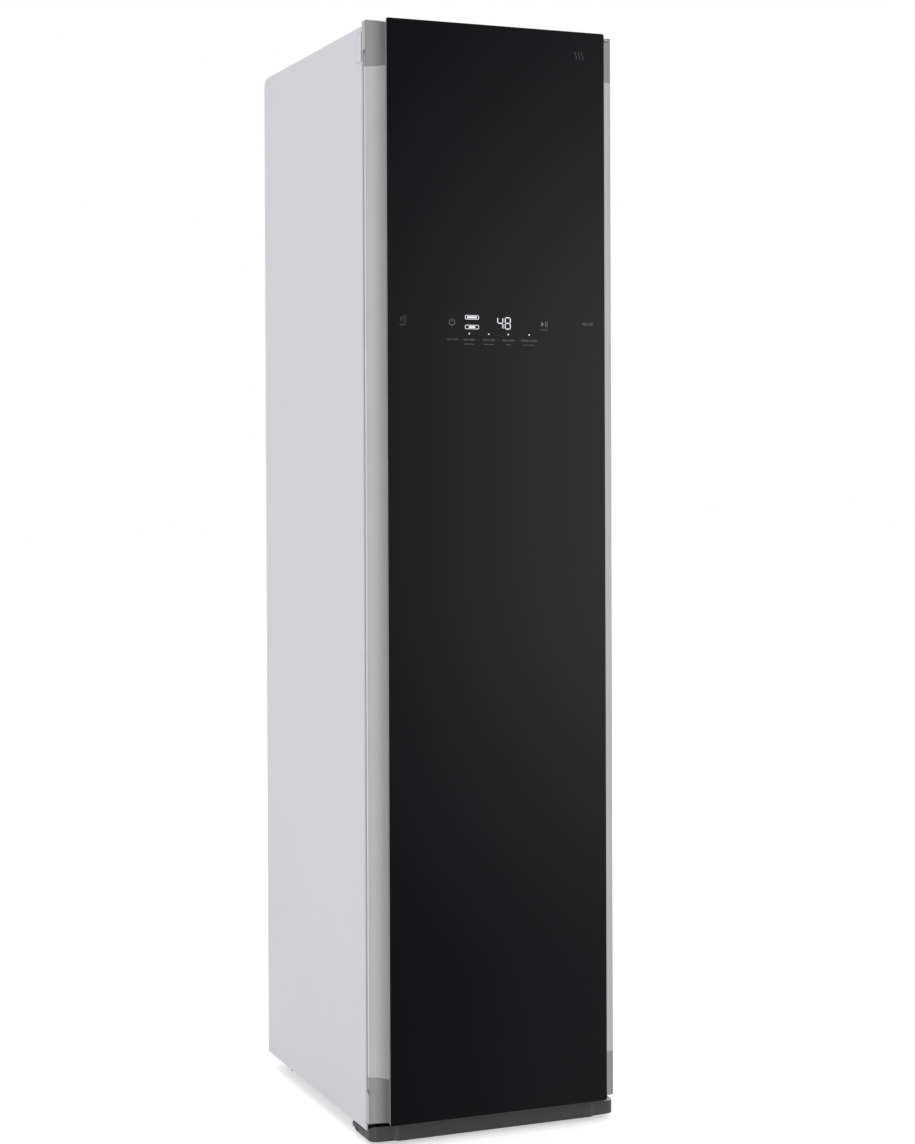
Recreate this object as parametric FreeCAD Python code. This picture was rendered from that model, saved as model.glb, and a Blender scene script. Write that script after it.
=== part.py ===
import FreeCAD, Part
import math
import os
from FreeCAD import Vector

# Steam clothes-care cabinet with a trouser press in its door.
# Lengths are in millimetres. +Z is up, the door faces -Y, and the origin is on the
# floor under the middle of the cabinet's width and depth.

# cabinet
HALF_WIDTH = 222.5
FRONT = -292.5
REAR = 292.5
HEIGHT = 1850.0
CABINET_FRONT = -244.0
CABINET_TOP = 1842.0
PANEL_BOTTOM = 23.5
SHEET = 1.2
GAP = 0.2
FRONT_FLANGE = 22.5
TOP_REAR_RADIUS = 20.0
BACK_RECESS = 8.0
BACK_LIP = 12.0
SCREW_X = 208.0
SCREW_ROWS = [60.0, 320.0, 620.0, 920.0, 1220.0, 1520.0, 1760.0]
LOUVRE_COLUMNS = (-100.0, 100.0)
LOUVRE_ROWS = 12
LOUVRE_PITCH = 14.0
LOUVRE_FOOT = 110.0
LOUVRE_WIDTH = 110.0
LOUVRE_HEIGHT = 5.0
CORD_X = 150.0
CORD_Z = 300.0
ACCESS_CAP = (-242.6, -221.4, 1784.0, 1833.0)
HINGE_SCREWS = [(190.0, -222.0), (212.0, -222.0)]
FRAME_HALF_WIDTH = HALF_WIDTH - SHEET - GAP
BACK_FACE = REAR - BACK_RECESS
INNER_REAR = BACK_FACE - SHEET - BACK_LIP - GAP

# kick plate
KICK_HALF_WIDTH = 221.5
KICK_FRONT = -271.5
KICK_REAR = -176.0
KICK_FOOT = 8.0
KICK_HEAD = 33.0
KICK_RETURN_HEAD = 20.5
KICK_WALL = 3.0
KICK_RADIUS = 16.0
KICK_SLOPE_FRONT = -266.0
KICK_SLOPE_REAR = -240.0
KICK_PANEL_HALF = 178.0
KICK_PROUD = 2.0

# door
GLASS_HALF_WIDTH = 196.7
GLASS_THICKNESS = 4.0
GLASS_BOTTOM = 38.6
GLASS_CORNER = 3.5
DOOR_REAR = -261.5
CORE_FRONT = FRONT + 4.6
LIP_REAR = -255.5
LIP_THICKNESS = 3.5
CAP_TOP = 1850.0
CAP_TOP_AT_GLASS = 1842.5
CAP_BOTTOM = 38.0
TOP_CAP_FOOT = 1773.5
BOTTOM_CAP_HEAD = 114.5
CORE_HALF_WIDTH = 189.8
COVE_SAGITTA = 5.0
CAP_BAR = 30.0
PAD_LENGTH = 49.0
PAD_DEPTH = 16.2
PAD_WIDTH = 18.0
PAD_GAP = 7.0
PIVOT_X = 203.0
PIVOT_Y = -270.0
PIN_RADIUS = 3.5
RUNNING = 0.05
HINGE_RECESS_X = 186.0
HINGE_RECESS_Z = 1841.5

# garment chamber
CHAMBER_HALF_WIDTH = 190.0
CHAMBER_REAR = 236.0
CHAMBER_FLOOR = 336.0
CHAMBER_TOP = 1700.0
LINER = 2.0
FOAM_BOTTOM = 326.0
FOAM_TOP = 1716.0
FLOOR_TOP = CHAMBER_FLOOR + 8.2
DOORWAY_TOP = 1812.0
MACHINE_ROOM_TOP = 322.0
TRAY_TOP = 60.0
STEAM_X = -80.0
STEAM_Y = -30.0
FILTER_BOX = (40.0, 170.0, -215.0, -115.0)
AROMA_BOX = (-150.0, -90.0, -210.0, -165.0)
BLOWER_X = 105.0
BLOWER_Z = 190.0

# moving hanger
BAR_Y = 10.0
BAR_Z = 1640.0
BAR_RADIUS = 7.0
BAR_HALF_LENGTH = 150.0
STROKE = 15.0
ARM_X = 110.0
ARM_RADIUS = 6.0
RAIL_Z = 1735.0
RAIL_RADIUS = 5.0
RAIL_OFFSET = 40.0
CRANK_RADIUS = 20.0
CRANK_PIN_RADIUS = 4.0
CRANK_SLACK = 1.0
CRANK_PULLEY_RADIUS = 36.0
MOTOR_PULLEY_RADIUS = 12.0
BELT_THICKNESS = 2.0
BELT_GAP = 0.1
MOTOR_X = 90.0
PULLEY_BASE = 1756.0
PULLEY_HEIGHT = 12.0
BRACKET_Z = 1772.0
HANGER_X = 60.0

# levelling feet
FRONT_FOOT = (190.0, -204.0)
REAR_FOOT = (183.0, 228.0)
STUD_RADIUS = 5.0

# tanks
TANK_INNER_X = 4.0
TANK_OUTER_X = 170.0
TANK_FRONT = -238.0
TANK_REAR = -70.0
TANK_FOOT = 78.0
TANK_TOP = 285.0
TANK_WALL = 2.5

# trouser press
PRESS_HALF_WIDTH = 148.0
PRESS_FOOT = 520.0
PRESS_HEAD = 1280.0
PRESS_HINGE_X = -156.0
PRESS_HINGE_Y = -247.0
PRESS_PIN_RADIUS = 3.0
PLATE_FRONT = DOOR_REAR + 0.1
PLATE_THICKNESS = 9.0
COVER_FRONT = -246.0
COVER_THICKNESS = 10.0
LATCH_X = 154.0
LATCH_Y = -241.0
LATCH_FOOT = 882.0
LATCH_HEAD = 918.0
LATCH_PIN_RADIUS = 2.0

# margins used throughout
OVERCUT = 1.0
HAIR = 0.1

# folds, access caps, back panel and screws
BOTTOM_RETURN = 14.0
ACCESS_CORNER = 3.0
ACCESS_RIM = 3.0
ACCESS_FRONT_STEP = 1.6
ACCESS_GROOVE_DEPTH = 0.5
ACCESS_GROOVE_INSET = 2.0
COVER_TAIL = 60.0
PANEL_HEAD_DROP = 62.0
HINGE_SCREW_HOLE = 2.2
SCREW_HOLE = 2.1
SCREW_RADIUS = 2.0
SCREW_LENGTH = 11.0
SCREW_HEAD_RADIUS = 4.2
SCREW_HEAD_HEIGHT = 2.4
DRIVE_SLOT_FLOOR = 1.2
DRIVE_SLOT_HALF_LENGTH = 2.6
DRIVE_SLOT_HALF_WIDTH = 0.5
CORD_HOLE = 7.0

# base tray and foot bosses
TRAY_CLEARANCE = 0.3
TRAY_WALL = 2.5
TRAY_FLOOR = 3.0
BOSS_RADIUS = 12.0
BOSS_FOOT = 14.0
BOSS_RISE = 12.0

# levelling feet
SOLE_RADIUS = 16.0
SOLE_TOP_RADIUS = 14.0
SOLE_HEIGHT = 8.0
NUT_RADIUS = 8.0
NUT_HEIGHT = 5.5
STUD_HEAD = 52.0

# kick plate details
KICK_HEEL_RUN = 25.0
KICK_HEEL_RISE = 4.5
KICK_PANEL_CORNER = 1.4
KICK_PANEL_DROP = 0.6
KICK_PANEL_HEAD_STEP = 0.5
KICK_DECK_THICKNESS = 3.0
KICK_DECK_GAP = 0.3
KICK_TABS = (-120.0, 90.0)
KICK_TAB_WIDTH = 30.0
KICK_TAB_REACH = 10.0
KICK_TAB_FOOT = 6.0
KICK_TAB_HEAD = 2.5

# chamber floor, vents and steam outlet
FLOOR_TRAY_HALF_WIDTH = 188.0
FLOOR_TRAY_FRONT_STEP = 6.0
FLOOR_TRAY_REAR_GAP = 2.0
FLOOR_SKIN = 3.0
FLOOR_VENTS = 8
FLOOR_VENT_FIRST = 60.0
FLOOR_VENT_PITCH = 16.0
FLOOR_VENT_HALF_LENGTH = 150.0
VENT_WIDTH = 6.0
VENT_CORNER = 2.9
WELL_DEPTH = 5.0
WELL_CLEARANCE = 0.5
STEAM_PIPE_HOLE = 14.2
NOZZLE_NECK_RADIUS = 14.0
NOZZLE_BASE_RADIUS = 20.0
NOZZLE_HOLE = 20.2
NOZZLE_BRIM_RADIUS = 28.0
NOZZLE_BRIM_TOP = 4.0
NOZZLE_DOME_RADIUS = 26.0
NOZZLE_CROWN_RADIUS = 18.0
NOZZLE_DOME_HEIGHT = 8.0
NOZZLE_SLOTS = 8
NOZZLE_SLOT_START = 8.0
NOZZLE_SLOT_HALF_WIDTH = 1.5
NOZZLE_SLOT_FOOT = 5.5
NOZZLE_SLOT_HEAD = 9.0

# lint filter, aroma kit, air duct and lamp
FILTER_BARS = 12
FILTER_MARGIN = 6.0
FILTER_FRAME_FRONT = 8.0
FILTER_FRAME_REAR = 20.0
FILTER_HEAD = 3.0
TAB_HALF_WIDTH = 18.0
TAB_FRONT = 12.0
TAB_BACK = 8.0
TAB_HEIGHT = 14.0
AROMA_HEAD = 9.0
AROMA_CORNER = 4.0
AROMA_SLOTS = 4
AROMA_SLOT_PITCH = 10.0
AROMA_SLOT_WIDTH = 4.0
AROMA_SLOT_MARGIN = 8.0
AROMA_SLOT_FLOOR = 6.0
DUCT_HALF_WIDTH = 150.0
DUCT_DEPTH = 16.0
DUCT_HEAD_DROP = 60.0
DUCT_CORNER = 12.0
DUCT_SIDE_WALL = 4.0
DUCT_FACE = 2.5
DUCT_OUTLETS = 6
DUCT_OUTLET_DROP = 110.0
DUCT_OUTLET_PITCH = 16.0
DUCT_OUTLET_HALF_LENGTH = 120.0
LAMP_HALF_WIDTH = 60.0
LAMP_FRONT = -215.0
LAMP_REAR = -190.0
LAMP_DEPTH = 8.0
LAMP_CORNER = 3.0

# rails, carriage, bracket and motor
RAIL_HALF_LENGTH = 182.0
RAIL_BLOCK_X = 179.0
RAIL_BLOCK_HALF_WIDTH = 7.0
RAIL_BLOCK_HALF_DEPTH = 11.0
RAIL_BLOCK_HEAD = 10.0
CARRIAGE_HALF_WIDTH = 140.0
CARRIAGE_HALF_DEPTH = 50.0
CARRIAGE_FOOT = 6.0
CARRIAGE_HEAD = 12.0
CARRIAGE_CORNER = 8.0
BEARING_X = 105.0
BEARING_HALF_WIDTH = 18.0
BEARING_HALF_DEPTH = 9.0
CRANK_SLOT_START = 6.0
POST_RADIUS = 9.0
POST_FOOT = 4.0
AXLE_RADIUS = 5.0
MOTOR_SHAFT_RADIUS = 3.0
PULLEY_FLANGE = 3.0
PULLEY_FLANGE_THICKNESS = 1.5
BELT_EDGE_GAP = 2.0
BRACKET_THICKNESS = 3.0
BRACKET_LEFT = -60.0
BRACKET_RIGHT = 140.0
BRACKET_HALF_DEPTH = 78.0
BRACKET_LEGS = (-45.0, 125.0)
BRACKET_LEG_HALF_WIDTH = 10.0
AXLE_CLIP_RADIUS = 8.0
SHAFT_HOLE = 8.0
GEARBOX_HALF = 30.0
GEARBOX_HEIGHT = 22.0
GEARBOX_CORNER = 6.0
MOTOR_CAN_RADIUS = 26.0
MOTOR_CAN_HEAD = 58.0

# garment hangers and control box
HANGER_WIRE = 2.5
HANGER_NECK = 40.0
HANGER_CROWN_DROP = 30.0
SHOULDER_DROP = 62.0
SHOULDER_SPAN = 190.0
SHOULDER_END = 12.0
SHOULDER_MIDDLE = 20.0
SHOULDER_WIDTH = 24.0
HOOK_GATE_HALF = 5.0
CONTROL_HALF_WIDTH = 160.0
CONTROL_FRONT = 130.0
CONTROL_REAR = 240.0
CONTROL_HEIGHT = 60.0
CONTROL_CORNER = 6.0
CONTROL_RIBS = 16
CONTROL_RIB_PITCH = 20.0
CONTROL_RIB_WIDTH = 4.0
CONTROL_RIB_HEIGHT = 2.0
CONTROL_RIB_MARGIN = 10.0

# tank bay and tank details
BAY_HALF_WIDTH = 176.0
BAY_REAR = -56.0
BAY_WALL = 3.0
BAY_MIDDLE_HALF = 1.5
BAY_FLOOR_GAP = 4.0
BAY_HEAD_WALL = 4.0
TANK_CORNER = 12.0
SCOOP_SIDE = 45.0
SCOOP_DEPTH = 22.0
SCOOP_FOOT_DROP = 70.0
SCOOP_HEAD_DROP = 34.0
SCOOP_CORNER = 8.0
SCOOP_WALL = 3.0
POCKET_CORNER = 10.0
FILLER_Y = TANK_REAR - 55.0
FILLER_HOLE = 30.0
FILLER_PLUG = 29.8
FILLER_BRIM = 36.0
FILLER_BRIM_HEAD = 7.0
FILLER_GRIP_HALF_LENGTH = 24.0
FILLER_GRIP_HALF_WIDTH = 3.0
FILLER_GRIP_HEAD = 16.0

# boiler and refrigeration
BOILER = (-195.0, -35.0, -50.0, 30.0, 64.0, 190.0)
BOILER_CORNER = 10.0
BOILER_BAND_FOOT = 120.0
BOILER_BAND_HEAD = 130.0
BOILER_BAND_PROUD = 3.0
BOILER_STUB_RADIUS = 10.0
COMPRESSOR_X = -130.0
COMPRESSOR_Y = 150.0
COMPRESSOR_RADIUS = 52.0
COMPRESSOR_FOOT = 48.0
COMPRESSOR_HEAD = 165.0
COMPRESSOR_DOME_RADIUS = 75.0
COMPRESSOR_DOME_CENTRE = 112.0
COMPRESSOR_PLATE = (70.0, 60.0, 42.0, 49.0, 12.0)
COMPRESSOR_STUD_X = 58.0
COMPRESSOR_STUD_Y = 48.0
COMPRESSOR_STUD_RADIUS = 7.0
COMPRESSOR_STUD_FOOT = 30.0
TERMINAL_BOX = (45.0, 75.0, 22.0, 90.0, 140.0)
EXCHANGER_X = (10.0, 180.0)
EXCHANGER_Z = (70.0, 250.0)
EVAPORATOR_Y = (-45.0, -5.0)
CONDENSER_Y = (10.0, 50.0)
END_PLATE = 2.0
FINS = 16
FIN_HALF_THICKNESS = 0.4
TUBE_ROWS = 6
TUBE_RADIUS = 4.0
TUBE_STICK_OUT = 6.0
PIPE_BEND = 14.0
PIPE_END_X = -4.0

# blower and pumps
BLOWER_FRONT = 90.0
BLOWER_REAR = 160.0
SCROLL_RADIUS = 78.0
SCROLL_WALL = 2.5
SCROLL_SKIN = 3.0
BLOWER_INLET_RADIUS = 44.0
BLOWER_SHAFT_HOLE = 10.0
BLOWER_OUTLET_HEAD = 322.0
BLOWER_STAND_HALF_WIDTH = 40.0
BLOWER_STAND_WALL = 4.0
BLOWER_STAND_INSET = 10.0
BLOWER_STAND_FOOT = 30.0
BLOWER_STAND_DROP = 74.0
WHEEL_FRONT = 98.0
WHEEL_REAR = 150.0
WHEEL_RADIUS = 60.0
WHEEL_RING_BORE = 50.0
WHEEL_PLATE = 2.0
HUB_RADIUS = 12.0
HUB_LENGTH = 16.0
BLADES = 24
BLADE_INNER = 51.0
BLADE_OUTER = 59.5
BLADE_HALF_THICKNESS = 0.6
BLADE_PITCH_RADIUS = 55.0
BLADE_ANGLE = 30.0
FAN_SHAFT_RADIUS = 4.0
FAN_MOTOR_RADIUS = 34.0
FAN_MOTOR_REAR = 205.0
FAN_SHAFT_FRONT = 130.0
PUMP_PLACES = (-20.0, 40.0)
PUMP_Y = 235.0
PUMP_RADIUS = 22.0
PUMP_FOOT = 31.0
PUMP_HEAD = 90.0
PUMP_FLANGE_HALF = 26.0
PUMP_FLANGE_FOOT = 28.2
PUMP_FLANGE_HEAD = 33.0
PUMP_FLANGE_CORNER = 5.0
SPOUT_Z = 80.0
SPOUT_END_Y = 200.0
SPOUT_RADIUS = 5.0

# supply cord
GLAND_RADIUS = 6.8
GLAND_DEPTH = 8.0
GLAND_PROUD = 3.5
CORD_OFFSET = 4.2
CORD_RADIUS = 3.2
CORD_BEND = 25.0
CORD_LOW = 60.0
CORD_END_X = 60.0
CORD_END_Z = 180.0

# display board and gasket
BOARD_ROOM = (185.0, 1300.0, 1385.0)
BOARD_ROOM_DEPTH = 6.0
BOARD = (180.0, 1306.0, 1380.0)
BOARD_FRONT = 8.0
BOARD_THICKNESS = 1.6
DIGITS = (-12.0, 32.0, 1340.0, 1372.0)
DIGITS_FRONT = 5.0
LAMP_PLACES = (-52.2, -17.0, 18.1, 56.2)
LAMP_HALF = 3.0
LAMP_BODY_FRONT = 5.5
LAMP_CENTRE_Z = 1338.0
GASKET_OUTER = (204.0, 62.0, 1822.0, 14.0)
GASKET_INNER = (192.0, 74.0, 1810.0, 6.0)
GASKET_SQUEEZE = 0.6

# door hinge brackets
BRACKET_FOOT_X = (180.0, 221.0)
BRACKET_FOOT_Y = (-240.0, -205.0)
BRACKET_FOOT_CORNER = 4.0
HINGE_PLATE = 4.0
HINGE_EYE_RADIUS = 10.0
UPPER_PIN_FOOT = 1815.0
HINGE_SCREW_DEPTH = 8.0
HINGE_SCREW_HEAD = 2.2
HINGE_SCREW_HEAD_RADIUS = 4.0
LOWER_PLATE_FOOT = 33.6
LOWER_PLATE_HEAD = 36.6
LOWER_EYE_RADIUS = 9.0
LOWER_LEG_FOOT = 26.0
LOWER_SPACER_RADIUS = 6.0
LOWER_SPACER_HEAD = 37.9
LOWER_PIN_HEAD = 62.0

# press details
PRESS_CORNER = 10.0
PRESS_EAR_INSET = 20.0
PRESS_EAR_HEIGHT = 20.0
PRESS_EAR_REACH = 6.0
PRESS_EAR_LANDING = 12.0
PRESS_HINGE_HALF = 5.0
PRESS_PIN_LENGTH = 40.0
CUP_X = 90.0
CUP_HALF_WIDTH = 12.0
CUP_TONGUE = 4.0
CUP_DEPTH = 22.0
CUP_FOOT = 24.0
CUP_HEAD = 48.0
CUP_TONGUE_HEAD = 52.0
CUP_BED_RADIUS = 5.4
HANGER_BAR_Y = 13.0
HANGER_BAR_Z = 38.0
COVER_MARGIN = 4.0
KNUCKLE_HEIGHT = 18.0
KNUCKLE_RADIUS = 6.0
PRESS_VENT_ROWS = 14
PRESS_VENT_FIRST = 60.0
PRESS_VENT_PITCH = 48.0
PRESS_VENT_STARTS = (-110.0, 20.0)
PRESS_VENT_LENGTH = 90.0
PRESS_VENT_HEIGHT = 8.0
PRESS_VENT_CORNER = 3.9
LATCH_LUG_HEIGHT = 8.0
LATCH_LUG_GAP = 0.5
LATCH_DRUM_RADIUS = 4.5
LATCH_PIN_REACH = 7.0
LATCH_ARM = 3.0
LATCH_HOOK_REACH = 5.4
LATCH_HOOK_THICKNESS = 4.0
LATCH_HOOK_GAP = 0.6
LATCH_GRIP = 12.0
LATCH_GRIP_HALF = 2.0
CATCH_LANDING = 8.0
CATCH_REACH = 3.5
CATCH_HALF = 2.0
CLAMP_BAR_HALF = 125.0
CLAMP_BAR_RADIUS = 5.0
CLAMP_JAW_HALF = 118.0
CLAMP_JAW_FRONT = 10.0
CLAMP_JAW_THICKNESS = 3.6
CLAMP_JAW_DROP = 36.0
CLAMP_JAW_RISE = 6.0
CLAMP_LINKS = (-113.0, -40.0, 40.0, 113.0)
CLAMP_LINK_HALF = 4.0


def box(x0, x1, y0, y1, z0, z1):
    return Part.makeBox(x1 - x0, y1 - y0, z1 - z0, Vector(x0, y0, z0))


def rod(x, y, z0, z1, radius):
    return Part.makeCylinder(radius, z1 - z0, Vector(x, y, z0))


def rod_along(start, end, radius):
    span = Vector(*end).sub(Vector(*start))
    return Part.makeCylinder(radius, span.Length, Vector(*start), span)


def fuse(shapes):
    joined = shapes[0].multiFuse(shapes[1:])
    return joined.removeSplitter()


def cut(shape, tools):
    return shape.cut(Part.Compound(tools))


def prism(points, direction):
    corners = [Vector(*p) for p in points]
    wire = Part.makePolygon(corners + corners[:1])
    return Part.Face(wire).extrude(Vector(*direction))


def rounded_box(x0, x1, y0, y1, z0, z1, radius, axis):
    block = box(x0, x1, y0, y1, z0, z1)
    along = {"x": Vector(1, 0, 0), "y": Vector(0, 1, 0), "z": Vector(0, 0, 1)}[axis]
    edges = []
    for edge in block.Edges:
        a = edge.Vertexes[0].Point
        b = edge.Vertexes[1].Point
        if b.sub(a).cross(along).Length < 1e-6:
            edges.append(edge)
    return block.makeFillet(radius, edges)


def mirrored(shape):
    return shape.mirror(Vector(0, 0, 0), Vector(1, 0, 0))


def tube_path(points, radius, bend):
    """A round bar along straight runs joined by bends of one radius."""
    corners = [Vector(*p) for p in points]
    edges = []
    start = corners[0]
    for i in range(1, len(corners) - 1):
        into = corners[i].sub(corners[i - 1]).normalize()
        out = corners[i + 1].sub(corners[i]).normalize()
        turn = into.getAngle(out)
        trim = bend * math.tan(turn / 2)
        before = corners[i].sub(Vector(into).multiply(trim))
        after = corners[i].add(Vector(out).multiply(trim))
        middle = Vector(out).sub(into).normalize()
        rise = bend / math.cos(turn / 2) - bend
        crown = corners[i].add(middle.multiply(rise))
        edges.append(Part.LineSegment(start, before).toShape())
        edges.append(Part.Arc(before, crown, after).toShape())
        start = after
    edges.append(Part.LineSegment(start, corners[-1]).toShape())
    path = Part.Wire(edges)
    first = corners[1].sub(corners[0])
    section = Part.Wire([Part.makeCircle(radius, corners[0], first)])
    return path.makePipeShell([section], True, False)


# ---------------------------------------------------------------- cabinet shell

def side_panel():
    """Left side panel: one folded sheet with a front flange and a bottom return."""
    y0, y1 = CABINET_FRONT, REAR
    z0, z1 = PANEL_BOTTOM, CABINET_TOP
    r = TOP_REAR_RADIUS
    x = -HALF_WIDTH
    sheet = box(x, x + SHEET, y0, y1, z0, z1)
    corner = box(x, x + SHEET, y1 - r, y1, z1 - r, z1)
    round_off = rod_along((x, y1 - r, z1 - r), (x + SHEET, y1 - r, z1 - r), r)
    sheet = sheet.cut(corner.cut(round_off))
    front = box(x, x + FRONT_FLANGE, y0, y0 + SHEET, z0, z1 - SHEET - GAP)
    bottom = box(x, x + BOTTOM_RETURN, y0, INNER_REAR, z0, z0 + SHEET)
    wy0, wy1, wz0, wz1 = ACCESS_CAP
    window = rounded_box(x - OVERCUT, x + SHEET + OVERCUT, wy0, wy1, wz0, wz1, ACCESS_CORNER, "x")
    return fuse([sheet, front, bottom]).cut(window)


def access_cap():
    """Small cover let into the side panel over the hinge screws."""
    wy0, wy1, wz0, wz1 = ACCESS_CAP
    x = -HALF_WIDTH
    inset = ACCESS_GROOVE_INSET
    face = rounded_box(x, x + SHEET, wy0 + GAP, wy1 - GAP, wz0 + GAP, wz1 - GAP,
                       ACCESS_CORNER - GAP, "x")
    groove = rounded_box(x, x + ACCESS_GROOVE_DEPTH, wy0 + inset, wy1 - inset,
                         wz0 + inset, wz1 - inset, inset, "x")
    backing = box(x + SHEET, x + ACCESS_RIM, wy0 + ACCESS_FRONT_STEP, wy1 + ACCESS_RIM,
                  wz0 - ACCESS_RIM, wz1 + ACCESS_RIM)
    return fuse([face.cut(groove), backing])


def access_caps():
    left = access_cap()
    return [left, mirrored(left)]


def top_cover():
    """Top sheet that turns down over the rear corner and down at the front."""
    r = TOP_REAR_RADIUS
    x = FRAME_HALF_WIDTH
    y1, z1 = REAR, CABINET_TOP
    flat = box(-x, x, CABINET_FRONT, y1 - r, z1 - SHEET, z1)
    quarter = rod_along((-x, y1 - r, z1 - r), (x, y1 - r, z1 - r), r)
    hollow = rod_along((-x - 1, y1 - r, z1 - r), (x + 1, y1 - r, z1 - r), r - SHEET)
    bend = quarter.cut(hollow).common(box(-x, x, y1 - r, y1, z1 - r, z1))
    tail = box(-x, x, y1 - SHEET, y1, z1 - COVER_TAIL, z1 - r)
    lip_half = HALF_WIDTH - FRONT_FLANGE - GAP
    lip = box(-lip_half, lip_half, CABINET_FRONT, CABINET_FRONT + SHEET, DOORWAY_TOP, z1)
    holes = [rod(x_at, y_at, z1 - 3, z1 + OVERCUT, HINGE_SCREW_HOLE) for x_at, y_at in HINGE_SCREWS]
    return cut(fuse([flat, bend, tail, lip]), holes)


def back_panel():
    """Recessed rear sheet with lips and two banks of louvre slots."""
    x = FRAME_HALF_WIDTH
    y = BACK_FACE
    z0, z1 = PANEL_BOTTOM, CABINET_TOP - PANEL_HEAD_DROP
    sheet = box(-x, x, y - SHEET, y, z0, z1)
    lips = [box(-x, -x + SHEET, y - BACK_LIP, y, z0, z1), box(x - SHEET, x, y - BACK_LIP, y, z0, z1)]
    slots = []
    for middle in LOUVRE_COLUMNS:
        for row in range(LOUVRE_ROWS):
            z = LOUVRE_FOOT + LOUVRE_PITCH * row
            half = LOUVRE_WIDTH / 2
            slots.append(rounded_box(middle - half, middle + half, y - 3, y + 1,
                                     z, z + LOUVRE_HEIGHT, LOUVRE_HEIGHT / 2 - 0.1, "y"))
    slots.append(rod_along((CORD_X, y - 3, CORD_Z), (CORD_X, y + OVERCUT, CORD_Z), CORD_HOLE))
    for x_at in (-SCREW_X, SCREW_X):
        for z in SCREW_ROWS:
            slots.append(rod_along((x_at, y - 3, z), (x_at, y + OVERCUT, z), SCREW_HOLE))
    return cut(fuse([sheet] + lips), slots)


def panel_screw(x, z):
    """Pan-head screw with a cross slot."""
    head_face = BACK_FACE + SCREW_HEAD_HEIGHT
    head = rod_along((x, BACK_FACE, z), (x, head_face, z), SCREW_HEAD_RADIUS)
    shank = rod_along((x, BACK_FACE - SCREW_LENGTH, z), (x, BACK_FACE, z), SCREW_RADIUS)
    floor = BACK_FACE + DRIVE_SLOT_FLOOR
    far, near = DRIVE_SLOT_HALF_LENGTH, DRIVE_SLOT_HALF_WIDTH
    slot = fuse([box(x - far, x + far, floor, head_face + OVERCUT, z - near, z + near),
                 box(x - near, x + near, floor, head_face + OVERCUT, z - far, z + far)])
    return fuse([head, shank]).cut(slot)


def panel_screws():
    return [panel_screw(x, z) for x in (-SCREW_X, SCREW_X) for z in SCREW_ROWS]


def foot_places():
    return [(-FRONT_FOOT[0], FRONT_FOOT[1]), FRONT_FOOT, (-REAR_FOOT[0], REAR_FOOT[1]), REAR_FOOT]


def base_frame():
    """Bottom tray with raised rim and a bored boss for each foot."""
    x = FRAME_HALF_WIDTH - GAP
    y0, y1 = CABINET_FRONT + SHEET + TRAY_CLEARANCE, INNER_REAR
    z0 = PANEL_BOTTOM + SHEET + HAIR
    w = TRAY_WALL
    tray = box(-x, x, y0, y1, z0, TRAY_TOP)
    tray = tray.cut(box(-x + w, x - w, y0 + w, y1 - w, z0 + TRAY_FLOOR, TRAY_TOP + OVERCUT))
    bosses = [rod(px, py, BOSS_FOOT, z0 + BOSS_RISE, BOSS_RADIUS) for px, py in foot_places()]
    bores = [rod(px, py, BOSS_FOOT - OVERCUT, z0 + BOSS_RISE + OVERCUT, STUD_RADIUS + RUNNING)
             for px, py in foot_places()]
    return cut(fuse([tray] + bosses), bores)


def levelling_foot(x, y):
    """Tapered sole, hexagon nut and threaded stud in one moulding."""
    sole = Part.makeCone(SOLE_RADIUS, SOLE_TOP_RADIUS, SOLE_HEIGHT, Vector(x, y, 0))
    corners = [(x + NUT_RADIUS * math.cos(i * math.pi / 3),
                y + NUT_RADIUS * math.sin(i * math.pi / 3), SOLE_HEIGHT) for i in range(6)]
    nut = prism(corners, (0, 0, NUT_HEIGHT))
    stud = rod(x, y, SOLE_HEIGHT + NUT_HEIGHT, STUD_HEAD, STUD_RADIUS)
    return fuse([sole, nut, stud])


def kick_outline(inset, rear):
    """Plan of the kick plate: straight sides and front with round corners."""
    x = KICK_HALF_WIDTH - inset
    r = KICK_RADIUS - inset
    y0 = KICK_FRONT + inset
    k = r * (1 - math.sqrt(0.5))
    a, b = Vector(-x, rear, 0), Vector(-x, y0 + r, 0)
    c, d = Vector(-x + r, y0, 0), Vector(x - r, y0, 0)
    e, f = Vector(x, y0 + r, 0), Vector(x, rear, 0)
    edges = [Part.LineSegment(a, b), Part.Arc(b, Vector(-x + k, y0 + k, 0), c),
             Part.LineSegment(c, d), Part.Arc(d, Vector(x - k, y0 + k, 0), e),
             Part.LineSegment(e, f), Part.LineSegment(f, a)]
    return Part.Face(Part.Wire([edge.toShape() for edge in edges]))


def kick_slope():
    """Cutter that takes the kick plate's sides down to the height of its returns."""
    w = HALF_WIDTH + OVERCUT
    above = KICK_HEAD + OVERCUT
    return prism([(-w, KICK_SLOPE_FRONT, KICK_HEAD), (-w, KICK_SLOPE_REAR, KICK_RETURN_HEAD),
                  (-w, 0, KICK_RETURN_HEAD), (-w, 0, above), (-w, KICK_SLOPE_FRONT, above)],
                 (2 * w, 0, 0))


def kick_heel():
    """Cutter that lifts the foot of each return towards its rear end."""
    w = HALF_WIDTH + OVERCUT
    start = KICK_REAR - KICK_HEEL_RUN
    end = KICK_REAR + OVERCUT
    below = KICK_FOOT - OVERCUT
    return prism([(-w, start, KICK_FOOT), (-w, end, KICK_FOOT + KICK_HEEL_RISE),
                  (-w, end, below), (-w, start, below)], (2 * w, 0, 0))


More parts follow.
